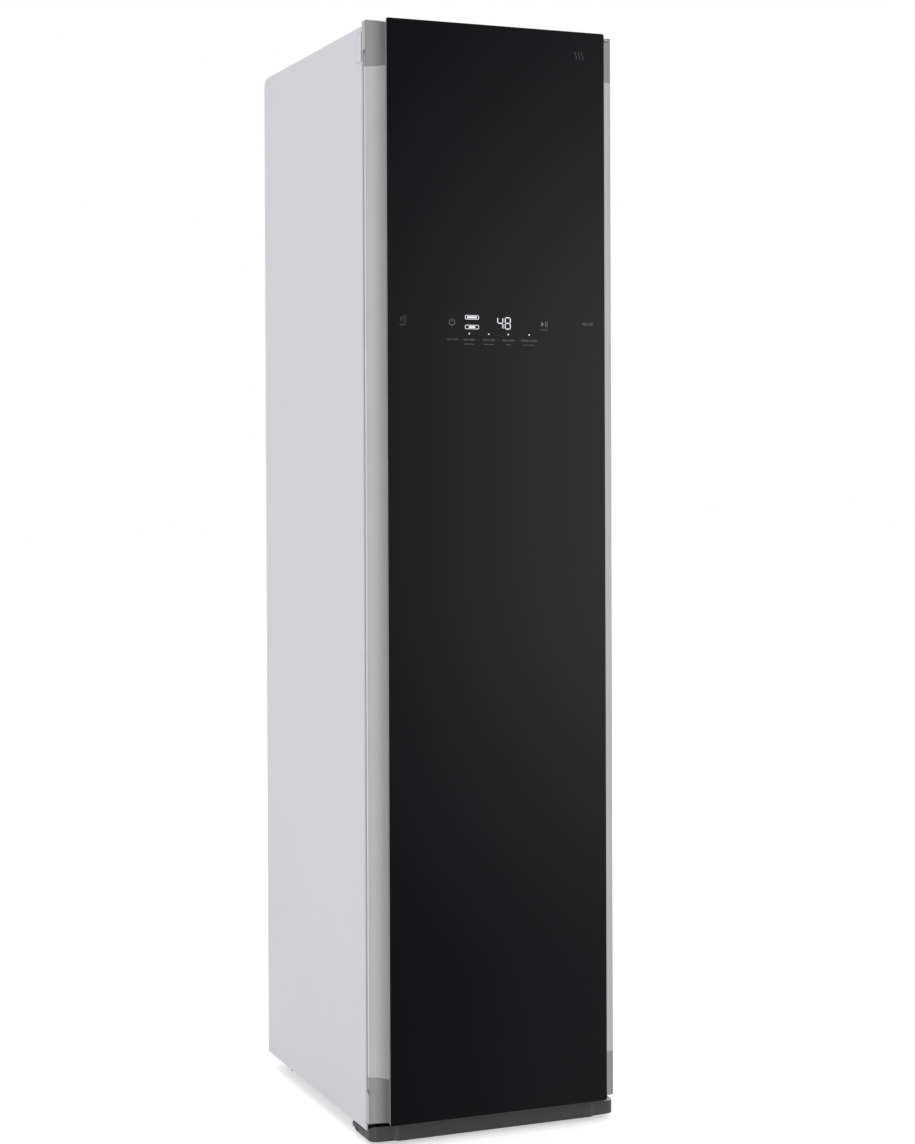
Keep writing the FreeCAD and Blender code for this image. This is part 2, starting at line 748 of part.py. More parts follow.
def kick_plate():
    """Low front cover that wraps round both corners and runs back under the side panels."""
    height = KICK_HEAD - KICK_FOOT
    outer = kick_outline(0.0, KICK_REAR).extrude(Vector(0, 0, height))
    inner = kick_outline(KICK_WALL, KICK_REAR + OVERCUT).extrude(Vector(0, 0, height + 2 * OVERCUT))
    outer.translate(Vector(0, 0, KICK_FOOT))
    inner.translate(Vector(0, 0, KICK_FOOT - OVERCUT))
    shell = cut(outer, [inner, kick_slope(), kick_heel()])
    panel = rounded_box(-KICK_PANEL_HALF, KICK_PANEL_HALF, KICK_FRONT - KICK_PROUD,
                        KICK_FRONT + KICK_PROUD, KICK_FOOT - KICK_PANEL_DROP,
                        KICK_HEAD - KICK_PANEL_HEAD_STEP, KICK_PANEL_CORNER, "y")
    deck = box(-KICK_PANEL_HALF, KICK_PANEL_HALF, KICK_FRONT + OVERCUT, CABINET_FRONT - KICK_DECK_GAP,
               KICK_RETURN_HEAD - KICK_DECK_THICKNESS, KICK_RETURN_HEAD)
    tabs = [box(x, x + KICK_TAB_WIDTH, CABINET_FRONT - KICK_TAB_REACH, CABINET_FRONT + SHEET,
                KICK_RETURN_HEAD - KICK_TAB_FOOT, KICK_RETURN_HEAD - KICK_TAB_HEAD)
            for x in KICK_TABS]
    return fuse([shell, panel, deck] + tabs)


# ---------------------------------------------------------------- chamber

def insulation_shell():
    x = FRAME_HALF_WIDTH - 2 * GAP
    y0 = CABINET_FRONT + LINER + TRAY_CLEARANCE
    wall = LINER + GAP
    block = box(-x, x, y0, INNER_REAR - 2, FOAM_BOTTOM, FOAM_TOP)
    hollow = box(-CHAMBER_HALF_WIDTH - wall, CHAMBER_HALF_WIDTH + wall, y0 - 1,
                 CHAMBER_REAR + wall, CHAMBER_FLOOR - wall, CHAMBER_TOP + wall)
    pipe = rod(STEAM_X, STEAM_Y, FOAM_BOTTOM - OVERCUT, CHAMBER_FLOOR, STEAM_PIPE_HOLE)
    return cut(block, [hollow, pipe] + arm_slots())


def arm_slots():
    half = STROKE + ARM_RADIUS + 2
    return [box(x - half, x + half, BAR_Y - ARM_RADIUS - 2, BAR_Y + ARM_RADIUS + 2,
                CHAMBER_TOP - 1, FOAM_TOP + 1) for x in (-ARM_X, ARM_X)]


def chamber_liner():
    """Seamless lining, open to the front, with a flange round the doorway."""
    x = CHAMBER_HALF_WIDTH
    y0 = CABINET_FRONT
    flange_half = HALF_WIDTH - FRONT_FLANGE - GAP
    outer = box(-x - LINER, x + LINER, y0, CHAMBER_REAR + LINER,
                CHAMBER_FLOOR - LINER, CHAMBER_TOP + LINER)
    flange = box(-flange_half, flange_half, y0, y0 + LINER, MACHINE_ROOM_TOP, DOORWAY_TOP - GAP)
    hollow = box(-x, x, y0 - 1, CHAMBER_REAR, CHAMBER_FLOOR, CHAMBER_TOP)
    pipe = rod(STEAM_X, STEAM_Y, CHAMBER_FLOOR - 5, CHAMBER_FLOOR + OVERCUT, STEAM_PIPE_HOLE)
    return cut(fuse([outer, flange]), [hollow, pipe] + arm_slots())


def floor_well(bounds, depth):
    x0, x1, y0, y1 = bounds
    return box(x0, x1, y0, y1, FLOOR_TOP - depth, FLOOR_TOP + 1)


def chamber_floor():
    """Moulded floor tray with wells for the filter and the aroma kit."""
    x = FLOOR_TRAY_HALF_WIDTH
    tray = box(-x, x, CABINET_FRONT + FLOOR_TRAY_FRONT_STEP, CHAMBER_REAR - FLOOR_TRAY_REAR_GAP,
               CHAMBER_FLOOR + GAP, FLOOR_TOP)
    openings = [floor_well(FILTER_BOX, WELL_DEPTH), floor_well(AROMA_BOX, WELL_DEPTH),
                rod(STEAM_X, STEAM_Y, CHAMBER_FLOOR - OVERCUT, FLOOR_TOP + OVERCUT, NOZZLE_HOLE)]
    for row in range(FLOOR_VENTS):
        y = FLOOR_VENT_FIRST + FLOOR_VENT_PITCH * row
        openings.append(rounded_box(-FLOOR_VENT_HALF_LENGTH, FLOOR_VENT_HALF_LENGTH, y, y + VENT_WIDTH,
                                    CHAMBER_FLOOR + FLOOR_SKIN, FLOOR_TOP + OVERCUT, VENT_CORNER, "z"))
    return cut(tray, openings)


def steam_nozzle():
    """Low domed outlet with slots round its brim."""
    brim_top = FLOOR_TOP + NOZZLE_BRIM_TOP
    neck = rod(STEAM_X, STEAM_Y, FOAM_BOTTOM - 4, CHAMBER_FLOOR + OVERCUT, NOZZLE_NECK_RADIUS)
    base = rod(STEAM_X, STEAM_Y, CHAMBER_FLOOR, FLOOR_TOP + OVERCUT, NOZZLE_BASE_RADIUS)
    brim = rod(STEAM_X, STEAM_Y, FLOOR_TOP + HAIR, brim_top, NOZZLE_BRIM_RADIUS)
    dome = Part.makeCone(NOZZLE_DOME_RADIUS, NOZZLE_CROWN_RADIUS, NOZZLE_DOME_HEIGHT,
                         Vector(STEAM_X, STEAM_Y, brim_top))
    slots = []
    for i in range(NOZZLE_SLOTS):
        slot = box(NOZZLE_SLOT_START, NOZZLE_BRIM_RADIUS + 2 * OVERCUT,
                   -NOZZLE_SLOT_HALF_WIDTH, NOZZLE_SLOT_HALF_WIDTH,
                   FLOOR_TOP + NOZZLE_SLOT_FOOT, FLOOR_TOP + NOZZLE_SLOT_HEAD)
        slot.rotate(Vector(0, 0, 0), Vector(0, 0, 1), 360.0 / NOZZLE_SLOTS * i)
        slot.translate(Vector(STEAM_X, STEAM_Y, 0))
        slots.append(slot)
    return cut(fuse([neck, base, brim, dome]), slots)


def lint_filter():
    """Framed lift-out screen with a finger tab."""
    x0, x1, y0, y1 = FILTER_BOX
    g = WELL_CLEARANCE
    foot = FLOOR_TOP - WELL_DEPTH + HAIR
    head = FLOOR_TOP + FILTER_HEAD
    frame = box(x0 + g, x1 - g, y0 + g, y1 - g, foot, head)
    windows = []
    pitch = (x1 - x0 - 2 * FILTER_MARGIN) / FILTER_BARS
    for i in range(FILTER_BARS):
        x = x0 + FILTER_MARGIN + pitch * i
        windows.append(box(x + 1, x + pitch - 1, y0 + FILTER_FRAME_FRONT, y1 - FILTER_FRAME_REAR,
                           foot - OVERCUT, head + OVERCUT))
    middle = (x0 + x1) / 2
    tab = rounded_box(middle - TAB_HALF_WIDTH, middle + TAB_HALF_WIDTH, y1 - TAB_FRONT, y1 - TAB_BACK,
                      FLOOR_TOP, FLOOR_TOP + TAB_HEIGHT, FILTER_HEAD, "y")
    return fuse([cut(frame, windows), tab])


def aroma_kit():
    """Lift-out scent case with slots in its lid."""
    x0, x1, y0, y1 = AROMA_BOX
    g = WELL_CLEARANCE
    head = FLOOR_TOP + AROMA_HEAD
    body = rounded_box(x0 + g, x1 - g, y0 + g, y1 - g, FLOOR_TOP - WELL_DEPTH + HAIR, head,
                       AROMA_CORNER, "z")
    slots = []
    for i in range(AROMA_SLOTS):
        x = x0 + AROMA_SLOT_PITCH * (i + 1)
        slots.append(box(x, x + AROMA_SLOT_WIDTH, y0 + AROMA_SLOT_MARGIN, y1 - AROMA_SLOT_MARGIN,
                         FLOOR_TOP + AROMA_SLOT_FLOOR, head + OVERCUT))
    return cut(body, slots)


def rear_duct_cover():
    """Shallow panel on the chamber's rear wall that carries air up to outlet slots."""
    x, side = DUCT_HALF_WIDTH, DUCT_SIDE_WALL
    y0, y1 = CHAMBER_REAR - DUCT_DEPTH, CHAMBER_REAR - GAP
    z0, z1 = FLOOR_TOP + OVERCUT, CHAMBER_TOP - DUCT_HEAD_DROP
    shell = rounded_box(-x, x, y0, y1, z0, z1, DUCT_CORNER, "y")
    hollow = box(-x + side, x - side, y0 + DUCT_FACE, y1 + OVERCUT, z0 + side, z1 - side)
    slots = []
    for row in range(DUCT_OUTLETS):
        z = z1 - DUCT_OUTLET_DROP + DUCT_OUTLET_PITCH * row
        slots.append(rounded_box(-DUCT_OUTLET_HALF_LENGTH, DUCT_OUTLET_HALF_LENGTH, y0 - OVERCUT,
                                 y0 + DUCT_SIDE_WALL, z, z + VENT_WIDTH, VENT_CORNER, "y"))
    return cut(shell, [hollow] + slots)


def led_lamp():
    """Lamp lens under the front of the chamber ceiling."""
    return rounded_box(-LAMP_HALF_WIDTH, LAMP_HALF_WIDTH, LAMP_FRONT, LAMP_REAR,
                       CHAMBER_TOP - LAMP_DEPTH, CHAMBER_TOP - HAIR, LAMP_CORNER, "z")


# ---------------------------------------------------------------- moving hanger

def slide_rails():
    """Two guide rods with their end blocks."""
    rails = []
    for y in (BAR_Y - RAIL_OFFSET, BAR_Y + RAIL_OFFSET):
        bar = rod_along((-RAIL_HALF_LENGTH, y, RAIL_Z), (RAIL_HALF_LENGTH, y, RAIL_Z), RAIL_RADIUS)
        ends = [box(x - RAIL_BLOCK_HALF_WIDTH, x + RAIL_BLOCK_HALF_WIDTH,
                    y - RAIL_BLOCK_HALF_DEPTH, y + RAIL_BLOCK_HALF_DEPTH,
                    FOAM_TOP + HAIR, RAIL_Z + RAIL_BLOCK_HEAD) for x in (-RAIL_BLOCK_X, RAIL_BLOCK_X)]
        rails.append(fuse([bar] + ends))
    return rails


def hanger_carriage():
    """Plate on four bearing blocks with a cross slot for the crank pin."""
    z0, z1 = RAIL_Z + CARRIAGE_FOOT, RAIL_Z + CARRIAGE_HEAD
    plate = rounded_box(-CARRIAGE_HALF_WIDTH, CARRIAGE_HALF_WIDTH, BAR_Y - CARRIAGE_HALF_DEPTH,
                        BAR_Y + CARRIAGE_HALF_DEPTH, z0, z1, CARRIAGE_CORNER, "z")
    blocks = []
    bores = []
    reach = RAIL_HALF_LENGTH + BEARING_HALF_WIDTH
    for y in (BAR_Y - RAIL_OFFSET, BAR_Y + RAIL_OFFSET):
        for x in (-BEARING_X, BEARING_X):
            blocks.append(box(x - BEARING_HALF_WIDTH, x + BEARING_HALF_WIDTH,
                              y - BEARING_HALF_DEPTH, y + BEARING_HALF_DEPTH,
                              RAIL_Z - BEARING_HALF_DEPTH, z0 + OVERCUT))
        bores.append(rod_along((-reach, y, RAIL_Z), (reach, y, RAIL_Z), RAIL_RADIUS + RUNNING))
    half = CRANK_PIN_RADIUS + CRANK_SLACK
    slot = rounded_box(-half, half, BAR_Y + CRANK_SLOT_START, BAR_Y + CRANK_RADIUS + half + 1,
                       z0 - OVERCUT, z1 + OVERCUT, half - HAIR, "z")
    posts = [rod(x, BAR_Y, FOAM_TOP + POST_FOOT, z1 + 1, POST_RADIUS) for x in (-ARM_X, ARM_X)]
    return cut(fuse([plate] + blocks + posts), bores + [slot])


def hanger_bar():
    """Round bar on two hanging arms."""
    bar = rod_along((-BAR_HALF_LENGTH, BAR_Y, BAR_Z), (BAR_HALF_LENGTH, BAR_Y, BAR_Z), BAR_RADIUS)
    arms = [rod(x, BAR_Y, BAR_Z, FOAM_TOP + 4, ARM_RADIUS) for x in (-ARM_X, ARM_X)]
    ends = [Part.makeSphere(BAR_RADIUS + 2, Vector(x, BAR_Y, BAR_Z))
            for x in (-BAR_HALF_LENGTH, BAR_HALF_LENGTH)]
    return fuse([bar] + arms + ends)


def flanged_pulley(x, y, radius):
    top = PULLEY_BASE + PULLEY_HEIGHT
    edge = PULLEY_FLANGE_THICKNESS
    drum = rod(x, y, PULLEY_BASE, top, radius)
    flanges = [rod(x, y, PULLEY_BASE, PULLEY_BASE + edge, radius + PULLEY_FLANGE),
               rod(x, y, top - edge, top, radius + PULLEY_FLANGE)]
    return fuse([drum] + flanges)


def crank_pulley():
    wheel = flanged_pulley(0.0, BAR_Y, CRANK_PULLEY_RADIUS)
    pin = rod(0.0, BAR_Y + CRANK_RADIUS, RAIL_Z + 5, PULLEY_BASE + 1, CRANK_PIN_RADIUS)
    bore = rod(0.0, BAR_Y, PULLEY_BASE - OVERCUT, PULLEY_BASE + PULLEY_HEIGHT + OVERCUT,
               AXLE_RADIUS + RUNNING)
    return fuse([wheel, pin]).cut(bore)


def motor_pulley():
    wheel = flanged_pulley(MOTOR_X, BAR_Y, MOTOR_PULLEY_RADIUS)
    shaft = rod(MOTOR_X, BAR_Y, PULLEY_BASE + 1, BRACKET_Z + 10, MOTOR_SHAFT_RADIUS)
    return fuse([wheel, shaft])


def belt_loop(extra):
    """Plan outline of the belt run round both pulleys, grown outwards by extra."""
    big = CRANK_PULLEY_RADIUS + BELT_GAP + extra
    small = MOTOR_PULLEY_RADIUS + BELT_GAP + extra
    lean = math.acos((big - small) / MOTOR_X)
    ca, sa = math.cos(lean), math.sin(lean)
    a, b = Vector(big * ca, BAR_Y + big * sa, 0), Vector(big * ca, BAR_Y - big * sa, 0)
    c = Vector(MOTOR_X + small * ca, BAR_Y - small * sa, 0)
    d = Vector(MOTOR_X + small * ca, BAR_Y + small * sa, 0)
    edges = [Part.Arc(a, Vector(-big, BAR_Y, 0), b), Part.LineSegment(b, c),
             Part.Arc(c, Vector(MOTOR_X + small, BAR_Y, 0), d), Part.LineSegment(d, a)]
    return Part.Face(Part.Wire([edge.toShape() for edge in edges]))


def drive_belt():
    z0 = PULLEY_BASE + BELT_EDGE_GAP
    height = PULLEY_HEIGHT - 2 * BELT_EDGE_GAP
    ring = belt_loop(BELT_THICKNESS).cut(belt_loop(0.0)).extrude(Vector(0, 0, height))
    ring.translate(Vector(0, 0, z0))
    return ring


def drive_bracket():
    """Bridge over the carriage that carries the crank axle and the motor."""
    z0, z1 = BRACKET_Z, BRACKET_Z + BRACKET_THICKNESS
    y0, y1 = BAR_Y - BRACKET_HALF_DEPTH, BAR_Y + BRACKET_HALF_DEPTH
    plate = box(BRACKET_LEFT, BRACKET_RIGHT, y0, y1, z0, z1)
    legs = [box(x - BRACKET_LEG_HALF_WIDTH, x + BRACKET_LEG_HALF_WIDTH, y, y + BRACKET_THICKNESS,
                FOAM_TOP + HAIR, z0 + 1) for x in BRACKET_LEGS for y in (y0, y1 - BRACKET_THICKNESS)]
    axle = rod(0.0, BAR_Y, PULLEY_BASE - 2, z0 + 1, AXLE_RADIUS)
    clip = rod(0.0, BAR_Y, PULLEY_BASE - 4, PULLEY_BASE - 0.3, AXLE_CLIP_RADIUS)
    shaft_hole = rod(MOTOR_X, BAR_Y, z0 - OVERCUT, z1 + OVERCUT, SHAFT_HOLE)
    return fuse([plate] + legs + [axle, clip]).cut(shaft_hole)


def hanger_motor():
    """Geared motor standing on the drive bracket."""
    z0 = BRACKET_Z + BRACKET_THICKNESS + HAIR
    half = GEARBOX_HALF
    gearbox = rounded_box(MOTOR_X - half, MOTOR_X + half, BAR_Y - half, BAR_Y + half,
                          z0, z0 + GEARBOX_HEIGHT, GEARBOX_CORNER, "z")
    can = rod(MOTOR_X, BAR_Y, z0 + GEARBOX_HEIGHT - 1, z0 + MOTOR_CAN_HEAD, MOTOR_CAN_RADIUS)
    bore = rod(MOTOR_X, BAR_Y, z0 - OVERCUT, z0 + 10, MOTOR_SHAFT_RADIUS + RUNNING)
    return fuse([gearbox, can]).cut(bore)


def hanger_shoulders(x, crown):
    """Curved shoulder bar: two arcs closed by upright ends, drawn front to back."""
    near, far = BAR_Y - SHOULDER_SPAN, BAR_Y + SHOULDER_SPAN
    high = crown - SHOULDER_DROP
    low = high - SHOULDER_END
    edges = [Part.Arc(Vector(x, near, high), Vector(x, BAR_Y, crown), Vector(x, far, high)),
             Part.LineSegment(Vector(x, far, high), Vector(x, far, low)),
             Part.Arc(Vector(x, far, low), Vector(x, BAR_Y, crown - SHOULDER_MIDDLE), Vector(x, near, low)),
             Part.LineSegment(Vector(x, near, low), Vector(x, near, high))]
    outline = Part.Wire([edge.toShape() for edge in edges])
    shoulders = Part.Face(outline).extrude(Vector(SHOULDER_WIDTH, 0, 0))
    shoulders.translate(Vector(-SHOULDER_WIDTH / 2, 0, 0))
    return shoulders


def garment_hanger(x):
    """Broad-shouldered hanger on a hook that rides on the round bar."""
    middle = BAR_RADIUS + HAIR + HANGER_WIRE
    low = BAR_Z - middle
    neck = rod(x, BAR_Y, low - HANGER_NECK, low + 1, HANGER_WIRE)
    hook = Part.makeTorus(middle, HANGER_WIRE, Vector(x, BAR_Y, BAR_Z), Vector(1, 0, 0))
    gate = box(x - HOOK_GATE_HALF, x + HOOK_GATE_HALF, BAR_Y - middle - 5, BAR_Y - 3, low - 5, BAR_Z - 2)
    return fuse([hook.cut(gate), neck, hanger_shoulders(x, low - HANGER_CROWN_DROP)])


def control_box():
    """Electronics housing behind the hanger drive."""
    x, head = CONTROL_HALF_WIDTH, FOAM_TOP + CONTROL_HEIGHT
    body = rounded_box(-x, x, CONTROL_FRONT, CONTROL_REAR, FOAM_TOP + HAIR, head, CONTROL_CORNER, "z")
    ribs = []
    for i in range(CONTROL_RIBS):
        x0 = -CONTROL_HALF_WIDTH + CONTROL_RIB_MARGIN + CONTROL_RIB_PITCH * i
        ribs.append(box(x0, x0 + CONTROL_RIB_WIDTH, CONTROL_FRONT + CONTROL_RIB_MARGIN,
                        CONTROL_REAR - CONTROL_RIB_MARGIN, head, head + CONTROL_RIB_HEIGHT))
    return fuse([body] + ribs)


# ---------------------------------------------------------------- machine room

def tank_bay():
    """Two open-fronted bays side by side, with a flange to the door side."""
    y0 = CABINET_FRONT
    flange_half = HALF_WIDTH - FRONT_FLANGE - GAP
    top = MACHINE_ROOM_TOP - LINER
    outer = box(-BAY_HALF_WIDTH, BAY_HALF_WIDTH, y0, BAY_REAR, TRAY_TOP + LINER, top)
    flange = box(-flange_half, flange_half, y0, y0 + LINER, TRAY_TOP + GAP, MACHINE_ROOM_TOP - GAP)
    side = BAY_HALF_WIDTH - BAY_WALL
    bays = [box(x0, x1, y0 - OVERCUT, BAY_REAR - BAY_WALL, TANK_FOOT - BAY_FLOOR_GAP, top - BAY_HEAD_WALL)
            for x0, x1 in ((-side, -BAY_MIDDLE_HALF), (BAY_MIDDLE_HALF, side))]
    return cut(fuse([outer, flange]), bays)


def finger_scoop(grow, front, depth, corner):
    """Block for the finger hollow in a tank's front, grown on all sides by grow."""
    side = SCOOP_SIDE - grow
    return rounded_box(TANK_INNER_X + side, TANK_OUTER_X - side, front, TANK_FRONT + depth,
                       TANK_TOP - SCOOP_FOOT_DROP - grow, TANK_TOP - SCOOP_HEAD_DROP + grow, corner, "y")


def tank():
    """Right-hand tank shell with a filler neck and a finger scoop in front."""
    x0, x1 = TANK_INNER_X, TANK_OUTER_X
    w = TANK_WALL
    shell = rounded_box(x0, x1, TANK_FRONT, TANK_REAR, TANK_FOOT, TANK_TOP, TANK_CORNER, "z")
    inside = box(x0 + w, x1 - w, TANK_FRONT + w, TANK_REAR - w, TANK_FOOT + w, TANK_TOP - w)
    scoop = finger_scoop(0.0, TANK_FRONT - OVERCUT, SCOOP_DEPTH, SCOOP_CORNER)
    pocket = finger_scoop(SCOOP_WALL, TANK_FRONT, SCOOP_DEPTH + SCOOP_WALL, POCKET_CORNER)
    neck_hole = rod((x0 + x1) / 2, FILLER_Y, TANK_TOP - 10, TANK_TOP + OVERCUT, FILLER_HOLE)
    hollow = cut(shell, [inside.cut(pocket), neck_hole])
    return hollow.cut(scoop)


def tank_cap():
    """Filler cap: a plug, a brim and an upright grip."""
    middle = (TANK_INNER_X + TANK_OUTER_X) / 2
    brim_head = TANK_TOP + FILLER_BRIM_HEAD
    plug = rod(middle, FILLER_Y, TANK_TOP - 8, TANK_TOP + HAIR, FILLER_PLUG)
    brim = rod(middle, FILLER_Y, TANK_TOP + HAIR, brim_head, FILLER_BRIM)
    grip = box(middle - FILLER_GRIP_HALF_LENGTH, middle + FILLER_GRIP_HALF_LENGTH,
               FILLER_Y - FILLER_GRIP_HALF_WIDTH, FILLER_Y + FILLER_GRIP_HALF_WIDTH,
               brim_head - 1, TANK_TOP + FILLER_GRIP_HEAD)
    return fuse([plug, brim, grip])


def steam_generator():
    """Heated boiler with a stub that meets the steam nozzle."""
    x0, x1, y0, y1, z0, z1 = BOILER
    e = BOILER_BAND_PROUD
    body = rounded_box(x0, x1, y0, y1, z0, z1, BOILER_CORNER, "z")
    stub = rod(STEAM_X, STEAM_Y, z1 - 2, FOAM_BOTTOM - 4.1, BOILER_STUB_RADIUS)
    band = box(x0 - e, x1 + e, y0 - e, y1 + e, BOILER_BAND_FOOT, BOILER_BAND_HEAD)
    return fuse([body, band, stub])


def compressor():
    """Welded can on a foot plate, with a terminal cover."""
    x, y = COMPRESSOR_X, COMPRESSOR_Y
    can = rod(x, y, COMPRESSOR_FOOT, COMPRESSOR_HEAD, COMPRESSOR_RADIUS)
    ball = Part.makeSphere(COMPRESSOR_DOME_RADIUS, Vector(x, y, COMPRESSOR_DOME_CENTRE))
    lid = ball.common(rod(x, y, COMPRESSOR_HEAD - 1, 200.0, COMPRESSOR_RADIUS))
    half_x, half_y, z0, z1, corner = COMPRESSOR_PLATE
    plate = rounded_box(x - half_x, x + half_x, y - half_y, y + half_y, z0, z1, corner, "z")
    studs = [rod(x + sx * COMPRESSOR_STUD_X, y + sy * COMPRESSOR_STUD_Y, COMPRESSOR_STUD_FOOT, z0 + 1,
                 COMPRESSOR_STUD_RADIUS) for sx in (-1, 1) for sy in (-1, 1)]
    near, far, half, foot, head = TERMINAL_BOX
    cover = box(x + near, x + far, y - half, y + half, foot, head)
    return fuse([can, lid, plate, cover] + studs)


def finned_block(x_range, y_range, z_range):
    """Heat exchanger: upright fins between two end plates, crossed by tubes."""
    x0, x1 = x_range
    y0, y1 = y_range
    z0, z1 = z_range
    ends = [box(x, x + END_PLATE, y0, y1, z0, z1) for x in (x0, x1 - END_PLATE)]
    pitch = (x1 - x0 - 2 * END_PLATE) / (FINS + 1)
    fins = []
    for i in range(FINS):
        x = x0 + END_PLATE + pitch * (i + 1)
        fins.append(box(x - FIN_HALF_THICKNESS, x + FIN_HALF_THICKNESS, y0 + 1, y1 - 1, z0 + 1, z1 - 1))
    middle = (y0 + y1) / 2
    rise = (z1 - z0) / TUBE_ROWS
    tubes = []
    for i in range(TUBE_ROWS):
        z = z0 + rise * (i + 0.5)
        tubes.append(rod_along((x0 - TUBE_STICK_OUT, middle, z), (x1 + TUBE_STICK_OUT, middle, z),
                               TUBE_RADIUS))
    return fuse(ends + fins + tubes)


def evaporator():
    return finned_block(EXCHANGER_X, EVAPORATOR_Y, EXCHANGER_Z)


def condenser():
    return finned_block(EXCHANGER_X, CONDENSER_Y, EXCHANGER_Z)


def copper_run(x, y_start, z_start, z_high, y_end):
    """One pipe: up from the compressor, along to the heat exchanger and into its side."""
    return tube_path([(x, y_start, z_start), (x, y_start, z_high), (x, y_end, z_high),
                      (PIPE_END_X, y_end, z_high)], TUBE_RADIUS, PIPE_BEND)


def refrigerant_pipes():
    """Copper runs between the compressor and the two heat exchangers."""
    suction = copper_run(-60.0, 110.0, 170.0, 235.0, -15.0)
    pressure = copper_run(-50.0, 130.0, 150.0, 205.0, 40.0)
    return [suction, pressure]


def blower_housing():
    """Scroll case with a round inlet in front and an outlet upwards."""
    x, z = BLOWER_X, BLOWER_Z
    y0, y1 = BLOWER_FRONT, BLOWER_REAR
    w = SCROLL_WALL
    room = SCROLL_RADIUS - SCROLL_SKIN
    case = rod_along((x, y0, z), (x, y1, z), SCROLL_RADIUS)
    outlet = box(x, x + SCROLL_RADIUS, y0, y1, z, BLOWER_OUTLET_HEAD)
    wheel_room = rod_along((x, y0 + w, z), (x, y1 - w, z), room)
    outlet_room = box(x + w, x + SCROLL_RADIUS - w, y0 + w, y1 - w, z, BLOWER_OUTLET_HEAD + OVERCUT)
    inlet = rod_along((x, y0 - OVERCUT, z), (x, y0 + 4, z), BLOWER_INLET_RADIUS)
    shaft = rod_along((x, y1 - 4, z), (x, y1 + OVERCUT, z), BLOWER_SHAFT_HOLE)
    half, inset = BLOWER_STAND_HALF_WIDTH, BLOWER_STAND_INSET
    void = half - BLOWER_STAND_WALL
    head = z - BLOWER_STAND_DROP
    stand = box(x - half, x + half, y0 + inset, y1 - inset, BLOWER_STAND_FOOT, head)
    stand_void = box(x - void, x + void, y0 + inset - OVERCUT, y1 - inset + OVERCUT,
                     BLOWER_STAND_FOOT + BLOWER_STAND_WALL, head - 5)
    shell = cut(fuse([case, outlet]), [wheel_room, outlet_room, inlet, shaft])
    return fuse([shell, stand.cut(stand_void).cut(case)])


def blower_blade(i):
    """One forward-curved blade, tilted about its middle and turned to its place."""
    blade = box(BLADE_INNER, BLADE_OUTER, WHEEL_FRONT + 1, WHEEL_REAR - 1,
                -BLADE_HALF_THICKNESS, BLADE_HALF_THICKNESS)
    blade.rotate(Vector(BLADE_PITCH_RADIUS, 0, 0), Vector(0, 1, 0), BLADE_ANGLE)
    blade.rotate(Vector(0, 0, 0), Vector(0, 1, 0), 360.0 / BLADES * i)
    blade.translate(Vector(BLOWER_X, 0, BLOWER_Z))
    return blade


def blower_wheel():
    """Wheel with forward-curved blades on a back plate."""
    x, z = BLOWER_X, BLOWER_Z
    y0, y1 = WHEEL_FRONT, WHEEL_REAR
    plate = rod_along((x, y1 - WHEEL_PLATE, z), (x, y1, z), WHEEL_RADIUS)
    disc = rod_along((x, y0, z), (x, y0 + WHEEL_PLATE, z), WHEEL_RADIUS)
    mouth = rod_along((x, y0 - OVERCUT, z), (x, y0 + WHEEL_PLATE + OVERCUT, z), WHEEL_RING_BORE)
    hub = rod_along((x, y1 - HUB_LENGTH, z), (x, y1, z), HUB_RADIUS)
    blades = [blower_blade(i) for i in range(BLADES)]
    bore = rod_along((x, y0 - OVERCUT, z), (x, y1 + OVERCUT, z), FAN_SHAFT_RADIUS + RUNNING)
    return fuse([plate, disc.cut(mouth), hub] + blades).cut(bore)


def fan_motor():
    x, z = BLOWER_X, BLOWER_Z
    body = rod_along((x, BLOWER_REAR + GAP, z), (x, FAN_MOTOR_REAR, z), FAN_MOTOR_RADIUS)
    shaft = rod_along((x, FAN_SHAFT_FRONT, z), (x, BLOWER_REAR + 1, z), FAN_SHAFT_RADIUS)
    return fuse([body, shaft])


def water_pumps():
    """Feed pump and drain pump on the base tray."""
    pumps = []
    half = PUMP_FLANGE_HALF
    for x in PUMP_PLACES:
        body = rod(x, PUMP_Y, PUMP_FOOT, PUMP_HEAD, PUMP_RADIUS)
        foot = rounded_box(x - half, x + half, PUMP_Y - half, PUMP_Y + half,
                           PUMP_FLANGE_FOOT, PUMP_FLANGE_HEAD, PUMP_FLANGE_CORNER, "z")
        spout = rod_along((x, PUMP_Y, SPOUT_Z), (x, SPOUT_END_Y, SPOUT_Z), SPOUT_RADIUS)
        pumps.append(fuse([body, foot, spout]))
    return pumps


def power_cord():
    """Gland and supply lead hanging down the rear recess."""
    y = BACK_FACE + CORD_OFFSET
    gland = rod_along((CORD_X, BACK_FACE - GLAND_DEPTH, CORD_Z),
                      (CORD_X, BACK_FACE + GLAND_PROUD, CORD_Z), GLAND_RADIUS)
    lead = tube_path([(CORD_X, y, CORD_Z - 2), (CORD_X, y, CORD_LOW), (CORD_END_X, y, CORD_LOW),
                      (CORD_END_X, y, CORD_END_Z)], CORD_RADIUS, CORD_BEND)
    return fuse([gland, lead])


# ---------------------------------------------------------------- door

